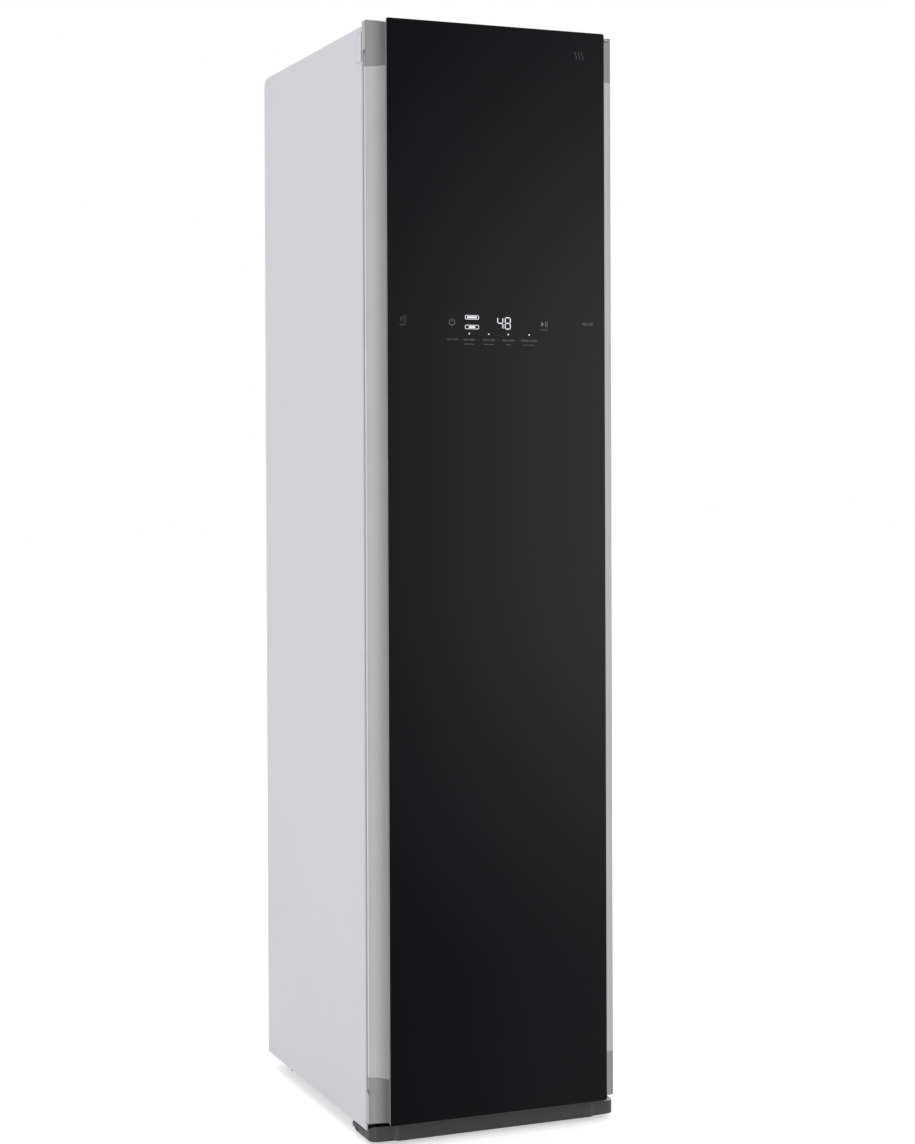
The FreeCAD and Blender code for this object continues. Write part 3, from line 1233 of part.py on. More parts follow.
def door_side_face(side):
    """Plan of the coved door edge, from behind the glass out to the rear corner."""
    x_in = side * (CORE_HALF_WIDTH + 0.1)
    x_glass = side * (GLASS_HALF_WIDTH + 0.5)
    x_out = side * HALF_WIDTH
    front = Vector(x_glass, CORE_FRONT, 0)
    rear = Vector(x_out, DOOR_REAR - 1.8, 0)
    chord = rear.sub(front)
    inward = Vector(-chord.y * side, chord.x * side, 0).normalize()
    if inward.y < 0:
        inward = inward.negative()
    middle = front.add(rear).multiply(0.5).add(inward.multiply(COVE_SAGITTA))
    corners = [rear, Vector(x_out, DOOR_REAR, 0), Vector(x_in, DOOR_REAR, 0),
               Vector(x_in, CORE_FRONT, 0), front]
    edges = [Part.Arc(front, middle, rear)]
    edges += [Part.LineSegment(a, b) for a, b in zip(corners, corners[1:])]
    return Part.Face(Part.Wire([edge.toShape() for edge in edges]))


def door_edge(side, z0, z1):
    bar = door_side_face(side).extrude(Vector(0, 0, z1 - z0))
    bar.translate(Vector(0, 0, z0))
    return bar


def rear_lip(side, z0, z1):
    """Narrow flange that carries the door's edge on towards the cabinet."""
    x0, x1 = HALF_WIDTH - LIP_THICKNESS, HALF_WIDTH
    lip = box(x0, x1, DOOR_REAR - 1, LIP_REAR, z0, z1)
    return lip if side > 0 else mirrored(lip)


def door_glass():
    return rounded_box(-GLASS_HALF_WIDTH, GLASS_HALF_WIDTH, FRONT, FRONT + GLASS_THICKNESS,
                       GLASS_BOTTOM, HEIGHT, GLASS_CORNER, "y")


def door_profile(side):
    z0, z1 = BOTTOM_CAP_HEAD + 0.1, TOP_CAP_FOOT - 0.1
    return fuse([door_edge(side, z0, z1), rear_lip(side, z0, z1)])


def pivot_bore(z0, z1):
    return rod(PIVOT_X, PIVOT_Y, z0, z1, PIN_RADIUS + RUNNING)


def closing_pad(z0, z1):
    """Block behind the free edge that meets the cabinet when the door is shut."""
    return box(-HALF_WIDTH, -HALF_WIDTH + PAD_WIDTH, DOOR_REAR - 1, DOOR_REAR + PAD_DEPTH, z0, z1)


def door_top_cap():
    """Moulded cap across the door's head, falling towards the glass, with an ear each side."""
    ears = [door_edge(side, TOP_CAP_FOOT, CAP_TOP) for side in (-1, 1)]
    lips = [rear_lip(-1, TOP_CAP_FOOT, CAP_TOP - PAD_LENGTH - PAD_GAP),
            rear_lip(1, TOP_CAP_FOOT, CAP_TOP)]
    bar = box(-CORE_HALF_WIDTH - 1, CORE_HALF_WIDTH + 1, CORE_FRONT, DOOR_REAR,
              CAP_TOP - CAP_BAR, CAP_TOP)
    pad = closing_pad(CAP_TOP - PAD_LENGTH, CAP_TOP)
    recess = box(HINGE_RECESS_X, HALF_WIDTH + 1, FRONT, LIP_REAR + 1, HINGE_RECESS_Z, HEIGHT + 1)
    w = HALF_WIDTH + 1
    fall = prism([(-w, CORE_FRONT, CAP_TOP_AT_GLASS), (-w, DOOR_REAR, CAP_TOP),
                  (-w, DOOR_REAR, CAP_TOP + 1), (-w, CORE_FRONT - 1, CAP_TOP + 1),
                  (-w, CORE_FRONT - 1, CAP_TOP_AT_GLASS)], (2 * w, 0, 0))
    return cut(fuse(ears + lips + [bar, pad]), [recess, fall, pivot_bore(1810, HEIGHT)])


def door_bottom_cap():
    ears = [door_edge(side, CAP_BOTTOM, BOTTOM_CAP_HEAD) for side in (-1, 1)]
    lips = [rear_lip(-1, CAP_BOTTOM + PAD_LENGTH + PAD_GAP, BOTTOM_CAP_HEAD),
            rear_lip(1, CAP_BOTTOM, BOTTOM_CAP_HEAD)]
    bar = box(-CORE_HALF_WIDTH - 1, CORE_HALF_WIDTH + 1, CORE_FRONT, DOOR_REAR,
              CAP_BOTTOM, CAP_BOTTOM + CAP_BAR)
    pad = closing_pad(CAP_BOTTOM, CAP_BOTTOM + PAD_LENGTH)
    return fuse(ears + lips + [bar, pad]).cut(pivot_bore(CAP_BOTTOM - 1, 66))


def door_inner_panel():
    """Insulated door core with room cut out in front for the display board."""
    z0, z1 = CAP_BOTTOM + CAP_BAR + HAIR, CAP_TOP - CAP_BAR - HAIR
    core = box(-CORE_HALF_WIDTH, CORE_HALF_WIDTH, CORE_FRONT, DOOR_REAR, z0, z1)
    half, foot, head = BOARD_ROOM
    return core.cut(box(-half, half, FRONT, CORE_FRONT + BOARD_ROOM_DEPTH, foot, head))


def display_board():
    """Circuit board behind the touch symbols and the two-digit display."""
    half, foot, head = BOARD
    front = FRONT + BOARD_FRONT
    sheet = box(-half, half, front, front + BOARD_THICKNESS, foot, head)
    x0, x1, z0, z1 = DIGITS
    display = box(x0, x1, FRONT + DIGITS_FRONT, front + HAIR, z0, z1)
    lamps = [box(x - LAMP_HALF, x + LAMP_HALF, FRONT + LAMP_BODY_FRONT, front + HAIR,
                 LAMP_CENTRE_Z - LAMP_HALF, LAMP_CENTRE_Z + LAMP_HALF) for x in LAMP_PLACES]
    return fuse([sheet, display] + lamps)


def door_gasket():
    """Magnetic seal ring on the door's inner face."""
    y0, y1 = DOOR_REAR + HAIR, CABINET_FRONT - GASKET_SQUEEZE
    x, z0, z1, corner = GASKET_OUTER
    outer = rounded_box(-x, x, y0, y1, z0, z1, corner, "y")
    x, z0, z1, corner = GASKET_INNER
    return outer.cut(rounded_box(-x, x, y0 - OVERCUT, y1 + OVERCUT, z0, z1, corner, "y"))


def upper_hinge():
    """Flat plate screwed to the cabinet's top, with an arm, an eye and a pin pointing down."""
    z0, z1 = CABINET_TOP + HAIR, CABINET_TOP + HAIR + HINGE_PLATE
    eye_radius = HINGE_EYE_RADIUS
    x0, x1 = BRACKET_FOOT_X
    y0, y1 = BRACKET_FOOT_Y
    arm = box(PIVOT_X - eye_radius, PIVOT_X + eye_radius, PIVOT_Y, y1, z0, z1)
    foot = rounded_box(x0, x1, y0, y1, z0, z1, BRACKET_FOOT_CORNER, "z")
    eye = rod(PIVOT_X, PIVOT_Y, z0, z1, eye_radius)
    pin = rod(PIVOT_X, PIVOT_Y, UPPER_PIN_FOOT, z0 + 1, PIN_RADIUS)
    head = z1 + HINGE_SCREW_HEAD
    screws = [rod(x, y, CABINET_TOP - HINGE_SCREW_DEPTH, head, SCREW_RADIUS) for x, y in HINGE_SCREWS]
    heads = [rod(x, y, z1, head, HINGE_SCREW_HEAD_RADIUS) for x, y in HINGE_SCREWS]
    return fuse([arm, foot, eye, pin] + screws + heads)


def lower_hinge():
    """Angle under the door with an eye, a spacer and a pin pointing up."""
    z0, z1 = LOWER_PLATE_FOOT, LOWER_PLATE_HEAD
    half = LOWER_EYE_RADIUS
    tongue = box(PIVOT_X - half, PIVOT_X + half, PIVOT_Y, CABINET_FRONT - HAIR, z0, z1)
    leg = box(PIVOT_X - half, PIVOT_X + half, CABINET_FRONT - 3, CABINET_FRONT - HAIR, LOWER_LEG_FOOT, z1)
    toe = rod(PIVOT_X, PIVOT_Y, z0, z1, half)
    spacer = rod(PIVOT_X, PIVOT_Y, z1 - 1, LOWER_SPACER_HEAD, LOWER_SPACER_RADIUS)
    pin = rod(PIVOT_X, PIVOT_Y, z1 - 1, LOWER_PIN_HEAD, PIN_RADIUS)
    return fuse([tongue, leg, toe, spacer, pin])


def hinge_brackets():
    return [upper_hinge(), lower_hinge()]


# ---------------------------------------------------------------- trouser press

def hanger_cup(x):
    """Open-topped cup on a tongue above the press, for the clamp bar."""
    y0 = PLATE_FRONT
    half = CUP_HALF_WIDTH
    bar_y, bar_z = y0 + HANGER_BAR_Y, PRESS_HEAD + HANGER_BAR_Z
    tongue = box(x - half, x + half, y0, y0 + CUP_TONGUE, PRESS_HEAD - 5, PRESS_HEAD + CUP_TONGUE_HEAD)
    cup = box(x - half, x + half, y0, y0 + CUP_DEPTH, PRESS_HEAD + CUP_FOOT, PRESS_HEAD + CUP_HEAD)
    past = half + OVERCUT
    bed = rod_along((x - past, bar_y, bar_z), (x + past, bar_y, bar_z), CUP_BED_RADIUS)
    mouth = box(x - past, x + past, bar_y - CUP_BED_RADIUS, bar_y + CUP_BED_RADIUS,
                bar_z, PRESS_HEAD + 60)
    return cut(fuse([tongue, cup]), [bed, mouth])


def press_back_plate():
    """Backing panel on the door with hinge ears, a latch catch and hanger cups."""
    y0, y1 = PLATE_FRONT, PLATE_FRONT + PLATE_THICKNESS
    w = PRESS_HALF_WIDTH
    plate = rounded_box(-w, w, y0, y1, PRESS_FOOT, PRESS_HEAD, PRESS_CORNER, "y")
    hinge_back = PRESS_HINGE_Y + PRESS_HINGE_HALF
    reach = PRESS_EAR_REACH
    ears = []
    pins = []
    for z in (PRESS_FOOT + PRESS_EAR_INSET, PRESS_HEAD - PRESS_EAR_INSET - PRESS_EAR_HEIGHT):
        top = z + PRESS_EAR_HEIGHT
        ears.append(box(PRESS_HINGE_X - reach, -w + PRESS_EAR_LANDING, y0, y0 + reach, z, top))
        ears.append(box(PRESS_HINGE_X - reach, PRESS_HINGE_X + PRESS_HINGE_HALF, y0, hinge_back, z, top))
        pins.append(rod(PRESS_HINGE_X, PRESS_HINGE_Y, z - OVERCUT, top + OVERCUT, PRESS_PIN_RADIUS))
    cups = [hanger_cup(x) for x in (-CUP_X, CUP_X)]
    catch = box(w - CATCH_LANDING, w + CATCH_REACH, y1 - CATCH_HALF, y1 + CATCH_HALF,
                LATCH_FOOT, LATCH_HEAD)
    return cut(fuse([plate, catch] + ears + cups), pins)


def press_hinge_pins():
    feet = (PRESS_FOOT + PRESS_EAR_INSET, PRESS_HEAD - PRESS_EAR_INSET - PRESS_PIN_LENGTH)
    return [rod(PRESS_HINGE_X, PRESS_HINGE_Y, z, z + PRESS_PIN_LENGTH, PRESS_PIN_RADIUS) for z in feet]


def press_cover():
    """Hinged pressing panel with vent slots and knuckles on its pins."""
    w = PRESS_HALF_WIDTH
    y0, y1 = COVER_FRONT, COVER_FRONT + COVER_THICKNESS
    panel = rounded_box(-w, w, y0, y1, PRESS_FOOT + COVER_MARGIN, PRESS_HEAD - COVER_MARGIN,
                        PRESS_CORNER, "y")
    lugs = []
    bores = []
    for z in (PRESS_FOOT + 42, PRESS_HEAD - 60):
        top = z + KNUCKLE_HEIGHT
        lugs.append(rod(PRESS_HINGE_X, PRESS_HINGE_Y, z, top, KNUCKLE_RADIUS))
        lugs.append(box(PRESS_HINGE_X, -w + 8, y0, y0 + PRESS_HINGE_HALF, z, top))
        bores.append(rod(PRESS_HINGE_X, PRESS_HINGE_Y, z - OVERCUT, top + OVERCUT,
                         PRESS_PIN_RADIUS + RUNNING))
    for z in (LATCH_FOOT - LATCH_LUG_GAP - LATCH_LUG_HEIGHT, LATCH_HEAD + LATCH_LUG_GAP):
        top = z + LATCH_LUG_HEIGHT
        lugs.append(box(w - 8, LATCH_X + 4, y0, y1, z, top))
        bores.append(rod(LATCH_X, LATCH_Y, z - OVERCUT, top + OVERCUT, LATCH_PIN_RADIUS + RUNNING))
    vents = []
    for row in range(PRESS_VENT_ROWS):
        z = PRESS_FOOT + PRESS_VENT_FIRST + PRESS_VENT_PITCH * row
        for x0 in PRESS_VENT_STARTS:
            vents.append(rounded_box(x0, x0 + PRESS_VENT_LENGTH, y0 - OVERCUT, y1 + OVERCUT,
                                     z, z + PRESS_VENT_HEIGHT, PRESS_VENT_CORNER, "y"))
    return cut(fuse([panel] + lugs), bores + vents)


def press_latch():
    """Turning clasp at the cover's free edge, hooked behind the catch."""
    drum = rod(LATCH_X, LATCH_Y, LATCH_FOOT, LATCH_HEAD, LATCH_DRUM_RADIUS)
    pin = rod(LATCH_X, LATCH_Y, LATCH_FOOT - LATCH_PIN_REACH, LATCH_HEAD + LATCH_PIN_REACH,
              LATCH_PIN_RADIUS)
    catch_back = PLATE_FRONT + PLATE_THICKNESS - CATCH_HALF
    hook_back = catch_back - LATCH_HOOK_THICKNESS
    arm_side = LATCH_X + LATCH_ARM
    arm = box(LATCH_X - 1, arm_side, hook_back, LATCH_Y, LATCH_FOOT, LATCH_HEAD)
    hook = box(LATCH_X - LATCH_HOOK_REACH, arm_side, hook_back, catch_back - LATCH_HOOK_GAP,
               LATCH_FOOT, LATCH_HEAD)
    grip = box(LATCH_X, LATCH_X + LATCH_GRIP, LATCH_Y - LATCH_GRIP_HALF, LATCH_Y + LATCH_GRIP_HALF,
               LATCH_FOOT + 4, LATCH_HEAD - 4)
    return fuse([drum, pin, arm, hook, grip])


def trouser_hanger():
    """Clamp bar that rests in the two cups above the press."""
    y = PLATE_FRONT + HANGER_BAR_Y
    z = PRESS_HEAD + HANGER_BAR_Z
    half = CLAMP_LINK_HALF
    jaw_front = y + CLAMP_JAW_FRONT
    bar = rod_along((-CLAMP_BAR_HALF, y, z), (CLAMP_BAR_HALF, y, z), CLAMP_BAR_RADIUS)
    jaw = rounded_box(-CLAMP_JAW_HALF, CLAMP_JAW_HALF, jaw_front, jaw_front + CLAMP_JAW_THICKNESS,
                      z - CLAMP_JAW_DROP, z + CLAMP_JAW_RISE, half, "y")
    links = [box(x - half, x + half, y, jaw_front + 1, z - half, z + half) for x in CLAMP_LINKS]
    return fuse([bar, jaw] + links)


def nodes():
    feet = [levelling_foot(x, y) for x, y in foot_places()]
    panel = side_panel()
    right_tank = tank()
    right_cap = tank_cap()
    return {
        "left_side_panel": panel,
        "right_side_panel": mirrored(panel),
        "hinge_access_caps": access_caps(),
        "top_cover": top_cover(),
        "back_panel": back_panel(),
        "panel_screws": panel_screws(),
        "base_frame": base_frame(),
        "front_left_foot": feet[0],
        "front_right_foot": feet[1],
        "rear_left_foot": feet[2],
        "rear_right_foot": feet[3],
        "kick_plate": kick_plate(),
        "insulation_shell": insulation_shell(),
        "chamber_liner": chamber_liner(),
        "chamber_floor": chamber_floor(),
        "steam_nozzle": steam_nozzle(),
        "lint_filter": lint_filter(),
        "aroma_kit": aroma_kit(),
        "rear_duct_cover": rear_duct_cover(),
        "led_lamp": led_lamp(),
        "slide_rails": slide_rails(),
        "hanger_carriage": hanger_carriage(),
        "hanger_bar": hanger_bar(),
        "crank_pulley": crank_pulley(),
        "motor_pulley": motor_pulley(),
        "drive_belt": drive_belt(),
        "drive_bracket": drive_bracket(),
        "hanger_motor": hanger_motor(),
        "left_garment_hanger": garment_hanger(-HANGER_X),
        "right_garment_hanger": garment_hanger(HANGER_X),
        "control_box": control_box(),
        "tank_bay": tank_bay(),
        "water_tank": mirrored(right_tank),
        "water_tank_cap": mirrored(right_cap),
        "drain_tank": right_tank,
        "drain_tank_cap": right_cap,
        "steam_generator": steam_generator(),
        "compressor": compressor(),
        "evaporator": evaporator(),
        "condenser": condenser(),
        "refrigerant_pipes": refrigerant_pipes(),
        "blower_housing": blower_housing(),
        "blower_wheel": blower_wheel(),
        "fan_motor": fan_motor(),
        "water_pumps": water_pumps(),
        "power_cord": power_cord(),
        "door_glass": door_glass(),
        "left_door_profile": door_profile(-1),
        "right_door_profile": door_profile(1),
        "door_top_cap": door_top_cap(),
        "door_bottom_cap": door_bottom_cap(),
        "door_inner_panel": door_inner_panel(),
        "display_board": display_board(),
        "door_gasket": door_gasket(),
        "hinge_brackets": hinge_brackets(),
        "press_back_plate": press_back_plate(),
        "press_hinge_pins": press_hinge_pins(),
        "press_cover": press_cover(),
        "press_latch": press_latch(),
        "trouser_hanger": trouser_hanger(),
    }


def main():
    os.makedirs("parts", exist_ok=True)
    for name, shape in nodes().items():
        if isinstance(shape, list):
            shape = Part.Compound(shape)
        shape.exportStep(os.path.join("parts", name + ".step"))


main()
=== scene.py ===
import bmesh
import bpy
import math
from mathutils import Matrix, Vector


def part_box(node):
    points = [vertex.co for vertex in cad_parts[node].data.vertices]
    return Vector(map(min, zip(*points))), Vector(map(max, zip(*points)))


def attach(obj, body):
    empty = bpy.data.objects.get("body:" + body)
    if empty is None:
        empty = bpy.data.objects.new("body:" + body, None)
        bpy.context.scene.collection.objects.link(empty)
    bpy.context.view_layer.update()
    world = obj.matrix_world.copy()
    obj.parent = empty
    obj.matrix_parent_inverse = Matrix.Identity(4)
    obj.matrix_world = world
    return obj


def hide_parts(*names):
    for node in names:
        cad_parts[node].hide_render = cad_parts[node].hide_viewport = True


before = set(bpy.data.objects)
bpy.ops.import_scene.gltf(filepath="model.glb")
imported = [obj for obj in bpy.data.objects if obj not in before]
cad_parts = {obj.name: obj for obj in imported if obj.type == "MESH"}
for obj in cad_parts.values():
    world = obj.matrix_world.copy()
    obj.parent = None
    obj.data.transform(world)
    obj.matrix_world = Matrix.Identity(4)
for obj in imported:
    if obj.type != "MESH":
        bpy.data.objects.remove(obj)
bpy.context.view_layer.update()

# Sizes are in metres, in the CAD frame: +Z up, the glass door faces -Y.
MM = 0.001
HAIR = 0.1 * MM
OVERCUT = 1.0 * MM


def mm(*sizes):
    """Sizes given in millimetres, as metres."""
    return tuple(size * MM for size in sizes)


def scaled(points):
    """Pairs given in millimetres, as metres."""
    return [(a * MM, b * MM) for a, b in points]


# ---------------------------------------------------------------- places read from the frame

GLASS_LOW, GLASS_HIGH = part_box("door_glass")
EDGE_LOW, EDGE_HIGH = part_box("left_door_profile")
HEAD_LOW, HEAD_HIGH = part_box("door_top_cap")
FOOT_LOW, FOOT_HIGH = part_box("door_bottom_cap")
SIDE_LOW, SIDE_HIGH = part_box("left_side_panel")
KICK_LOW, KICK_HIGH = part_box("kick_plate")
GASKET_LOW, GASKET_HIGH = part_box("door_gasket")
LINER_LOW, LINER_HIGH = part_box("chamber_liner")
FLOOR_LOW, FLOOR_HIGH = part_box("chamber_floor")
CORE_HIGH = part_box("door_inner_panel")[1]
TOP_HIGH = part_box("top_cover")[1]
BACK_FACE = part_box("back_panel")[1].y
HALF_WIDTH = -SIDE_LOW.x
DOOR_REAR = CORE_HIGH.y


# ---------------------------------------------------------------- materials

DRIFT_BAND = (0.3, 0.7)
FLECK_BAND = (0.25, 0.75)
FLECK_SHARE = 0.35
EDGE_BAND = (0.51, 0.58)
EDGE_TINT = 1.5
RELIEF = 0.4 * MM
WEAVE_RELIEF = 0.5 * MM
PAINT = (0.815, 0.808, 0.852)

# name: colour, roughness, and what differs from finish_surface's own settings
FINISHES = {
    "cabinet_paint": (PAINT, 0.42, {"grain": 900, "depth": 0.06, "spread": 0.012, "patches": 3}),
    "cabinet_plastic": (PAINT, 0.36, {"grain": 1200, "depth": 0.05, "spread": 0.012}),
    "zinc_sheet": ((0.62, 0.63, 0.64), 0.38, {"metallic": 0.9, "grain": 160, "depth": 0.05,
                                              "spread": 0.045, "patches": 70}),
    "screw_steel": ((0.60, 0.60, 0.61), 0.3, {"metallic": 1, "wear": 0.4}),
    "black_plastic": ((0.035, 0.035, 0.038), 0.5, {"wear": 0.25}),
    # Near black: the kick plugs' own colour, and painted shade on the ledge and riser under the door.
    "black_plug_and_painted_shade": ((0.012, 0.012, 0.013), 0.7, {"depth": 0.2}),
    "foot_plastic": ((0.05, 0.05, 0.052), 0.55, {"wear": 0.25}),
    "kick_plastic": ((0.075, 0.075, 0.077), 0.42, {"grain": 1100, "depth": 0.12, "spread": 0.04,
                                                   "wear": 0.12}),
    "foam": ((0.86, 0.80, 0.60), 0.9, {"grain": 350, "depth": 0.9, "spread": 0.07}),
    "liner_plastic": ((0.72, 0.73, 0.75), 0.38, {"grain": 1000, "depth": 0.05, "spread": 0.012}),
    "floor_plastic": ((0.22, 0.225, 0.235), 0.45, {"wear": 0.15}),
    "filter_plastic": ((0.10, 0.105, 0.115), 0.45, {"wear": 0.2}),
    "bright_steel": ((0.70, 0.70, 0.71), 0.24, {"metallic": 1, "grain": 500, "stretch": (0.04, 1, 1)}),
    "drive_plastic": ((0.78, 0.78, 0.74), 0.4, {}),
    "belt_rubber": ((0.02, 0.02, 0.02), 0.7, {"grain": 900, "depth": 0.4}),
    "motor_paint": ((0.03, 0.03, 0.033), 0.35, {"wear": 0.3, "coat": 0.3}),
    "hanger_plastic": ((0.045, 0.045, 0.048), 0.38, {"wear": 0.2}),
    "bay_plastic": ((0.34, 0.345, 0.36), 0.45, {}),
    "tank_plastic": ((0.55, 0.60, 0.64), 0.22, {"grain": 300, "depth": 0.03, "spread": 0.03,
                                                "ior": 1.49, "clear": 0.55}),
    "cap_plastic": ((0.13, 0.135, 0.145), 0.42, {"wear": 0.2}),
    "fin_aluminium": ((0.75, 0.76, 0.77), 0.3, {"metallic": 1, "stretch": (1, 1, 0.05)}),
    "pipe_copper": ((0.72, 0.36, 0.22), 0.3, {"metallic": 1, "spread": 0.18, "patches": 60}),
    "cord_rubber": ((0.05, 0.05, 0.05), 0.6, {"depth": 0.2}),
    "black_glass": ((0.0042, 0.0038, 0.0056), 0.045, {"grain": 240, "depth": 0.004, "spread": 0.12,
                                                      "patches": 4, "ior": 1.5}),
    "glass_edge": ((0.62, 0.64, 0.65), 0.18, {"grain": 300, "depth": 0.03}),
    "silver_profile": ((0.60, 0.60, 0.605), 0.32, {"metallic": 0.6, "grain": 900, "depth": 0.05,
                                                   "spread": 0.02, "patches": 5,
                                                   "stretch": (1, 1, 0.03)}),
    # A lighter copy of the profile silver for the door's rear lip: a painted highlight for the light its
    # rounded edge catches.
    "painted_highlight_lip_silver": ((0.80, 0.80, 0.805), 0.30, {"metallic": 0.5, "grain": 900, "depth": 0.04,
                                               "spread": 0.02, "patches": 5}),
    "cap_grey": ((0.37, 0.37, 0.375), 0.30, {"metallic": 0.8, "grain": 1300, "depth": 0.06,
                                             "spread": 0.03}),
    "door_core": ((0.70, 0.71, 0.73), 0.4, {"grain": 1000, "depth": 0.05, "spread": 0.012}),
    "board": ((0.03, 0.16, 0.08), 0.35, {"grain": 400, "depth": 0.05}),
    "gasket_rubber": ((0.05, 0.05, 0.052), 0.62, {"grain": 800, "depth": 0.15}),
    "press_plastic": ((0.30, 0.305, 0.32), 0.42, {"grain": 1100, "depth": 0.12, "spread": 0.03,
                                                  "wear": 0.1}),
    "press_cloth": ((0.20, 0.21, 0.23), 0.85, {"grain": 900, "spread": 0.08}),
    "latch_plastic": ((0.05, 0.05, 0.053), 0.25, {"wear": 0.2}),
}

# name: colour and strength of the light behind the print
LIT_PRINTS = {
    "lamp_lens": ((1.0, 0.95, 0.85), 1.6),
    "bright_print": ((0.95, 0.97, 1.0), 0.95),
    "soft_print": ((0.9, 0.92, 0.95), 0.15),
    "dim_print": ((0.9, 0.92, 0.95), 0.045),
}


def feed(tree, socket, value):
    """Links a node's output to a socket, or sets the socket to a plain value."""
    if isinstance(value, bpy.types.NodeSocket):
        tree.links.new(value, socket)
    else:
        socket.default_value = value


def add(tree, kind, inputs=(), **settings):
    """Adds a shader node with its settings and its inputs."""
    node = tree.nodes.new("ShaderNode" + kind)
    for name, value in settings.items():
        setattr(node, name, value)
    for key, value in dict(inputs).items():
        feed(tree, node.inputs[key], value)
    return node


def ramp(tree, factor, band, low_colour, high_colour):
    node = add(tree, "ValToRGB", {"Fac": factor})
    for element, place, colour in zip(node.color_ramp.elements, band, (low_colour, high_colour)):
        element.position = place
        element.color = (*colour, 1)
    return node.outputs["Color"]


def noise(tree, coords, scale, detail=3.0, stretch=(1, 1, 1)):
    mapping = add(tree, "Mapping", {"Scale": stretch, "Vector": coords})
    texture = add(tree, "TexNoise", {"Scale": scale, "Detail": detail,
                                     "Vector": mapping.outputs["Vector"]})
    return texture.outputs["Fac"]


def spread_about(tree, value, middle, share):
    """Turns a 0 to 1 value into one that varies about a middle by a share of it."""
    node = add(tree, "MapRange", {"To Min": middle * (1 - share), "To Max": middle * (1 + share),
                                  "Value": value})
    return node.outputs["Result"]


def mixed(tree, factor, first, second, blend="MIX"):
    node = add(tree, "Mix", data_type="RGBA", blend_type=blend)
    for key, value in (("Factor", factor), ("A", first), ("B", second)):
        feed(tree, node.inputs[key], value)
    return node.outputs["Result"]


def tint(colour, factor):
    return tuple(max(0.0, min(1.0, c * factor)) for c in colour)


def shader_of(material):
    return material.node_tree.nodes["Principled BSDF"]


def new_material(name):
    """An empty material, as (material, node tree, object coordinates)."""
    material = bpy.data.materials.new(name)
    material.use_nodes = True
    tree = material.node_tree
    return material, tree, add(tree, "TexCoord").outputs["Object"]


def set_shader(material, inputs):
    for key, value in inputs.items():
        feed(material.node_tree, shader_of(material).inputs[key], value)


def finish_surface(name, colour, roughness, metallic=0.0, grain=700.0, depth=0.1, spread=0.05,
                   patches=9.0, stretch=(1, 1, 1), wear=0.0, coat=0.0, ior=1.46, clear=0.0):
    """A surface with slow colour drift, uneven gloss, fine relief and worn edges."""
    material, tree, coords = new_material(name)
    drift = noise(tree, coords, patches)
    fine = noise(tree, coords, grain, 4.0, stretch)
    tone = ramp(tree, drift, DRIFT_BAND, tint(colour, 1 - spread), tint(colour, 1 + spread))
    flecks = ramp(tree, fine, FLECK_BAND, (1 - spread * 2,) * 3, (1, 1, 1))
    base = mixed(tree, FLECK_SHARE, tone, flecks, "MULTIPLY")
    if wear:
        pointed = add(tree, "NewGeometry").outputs["Pointiness"]
        edge = ramp(tree, pointed, EDGE_BAND, (0, 0, 0), (wear, wear, wear))
        base = mixed(tree, edge, base, (*tint(colour, EDGE_TINT), 1))
    gloss = noise(tree, coords, patches * 6, 5.0)
    bump = add(tree, "Bump", {"Strength": depth, "Distance": RELIEF, "Height": fine})
    set_shader(material, {"Base Color": base, "Roughness": spread_about(tree, gloss, roughness, 0.18),
                          "Normal": bump.outputs["Normal"], "Metallic": metallic, "IOR": ior,
                          "Coat Weight": coat, "Coat Roughness": 0.12, "Transmission Weight": clear})
    return material


def lit_print(name, colour, strength):
    """Printing behind the glass that lamps shine through unevenly."""
    material, tree, coords = new_material(name)
    glow = noise(tree, coords, 300.0)
    set_shader(material, {"Base Color": (0.02, 0.02, 0.02, 1), "Roughness": 0.2,
                          "Emission Color": (*colour, 1),
                          "Emission Strength": spread_about(tree, glow, strength, 0.15)})
    return material


def weave_cloth(material):
    """Gives the pressing cloth crossed threads, from two wave patterns."""
    tree = material.node_tree
    coords = add(tree, "TexCoord").outputs["Object"]
    threads = [add(tree, "TexWave", {"Scale": 260.0, "Distortion": 0.6, "Vector": coords},
                   bands_direction=direction).outputs["Fac"] for direction in ("X", "Z")]
    cross = add(tree, "Math", {0: threads[0], 1: threads[1]}, operation="MULTIPLY")
    weave = add(tree, "Bump", {"Strength": 0.35, "Distance": WEAVE_RELIEF,
                               "Height": cross.outputs["Value"]})
    set_shader(material, {"Normal": weave.outputs["Normal"], "Sheen Weight": 0.4})


def print_tracks(material):
    """Covers the display board with copper tracks under green lacquer."""
    tree = material.node_tree
    tracks = add(tree, "TexBrick", {"Scale": 160.0, "Color1": (0.03, 0.17, 0.08, 1),
                                    "Color2": (0.02, 0.12, 0.06, 1), "Mortar": (0.12, 0.32, 0.16, 1),
                                    "Vector": add(tree, "TexCoord").outputs["Object"]})
    set_shader(material, {"Base Color": tracks.outputs["Color"]})


def make_materials():
    made = {}
    for name, (colour, roughness, settings) in FINISHES.items():
        made[name] = finish_surface(name, colour, roughness, **settings)
    for name, (colour, strength) in LIT_PRINTS.items():
        made[name] = lit_print(name, colour, strength)
    weave_cloth(made["press_cloth"])
    print_tracks(made["board"])
    return made


MATERIALS = make_materials()


# ---------------------------------------------------------------- mesh tools

MERGE_DISTANCE = 1e-7
NODE_EDGE_ANGLE = 40.0
VENT_WIDTH = 6.0 * MM


def clean_mesh(name, form):
    """A mesh from (points, faces), with doubled points merged and its faces turned outwards."""
    points, faces = form
    mesh = bpy.data.meshes.new(name)
    mesh.from_pydata([tuple(p) for p in points], [], faces)
    tidy = bmesh.new()
    tidy.from_mesh(mesh)
    bmesh.ops.remove_doubles(tidy, verts=tidy.verts, dist=MERGE_DISTANCE)
    bmesh.ops.recalc_face_normals(tidy, faces=tidy.faces)
    tidy.to_mesh(mesh)
    tidy.free()
    return mesh


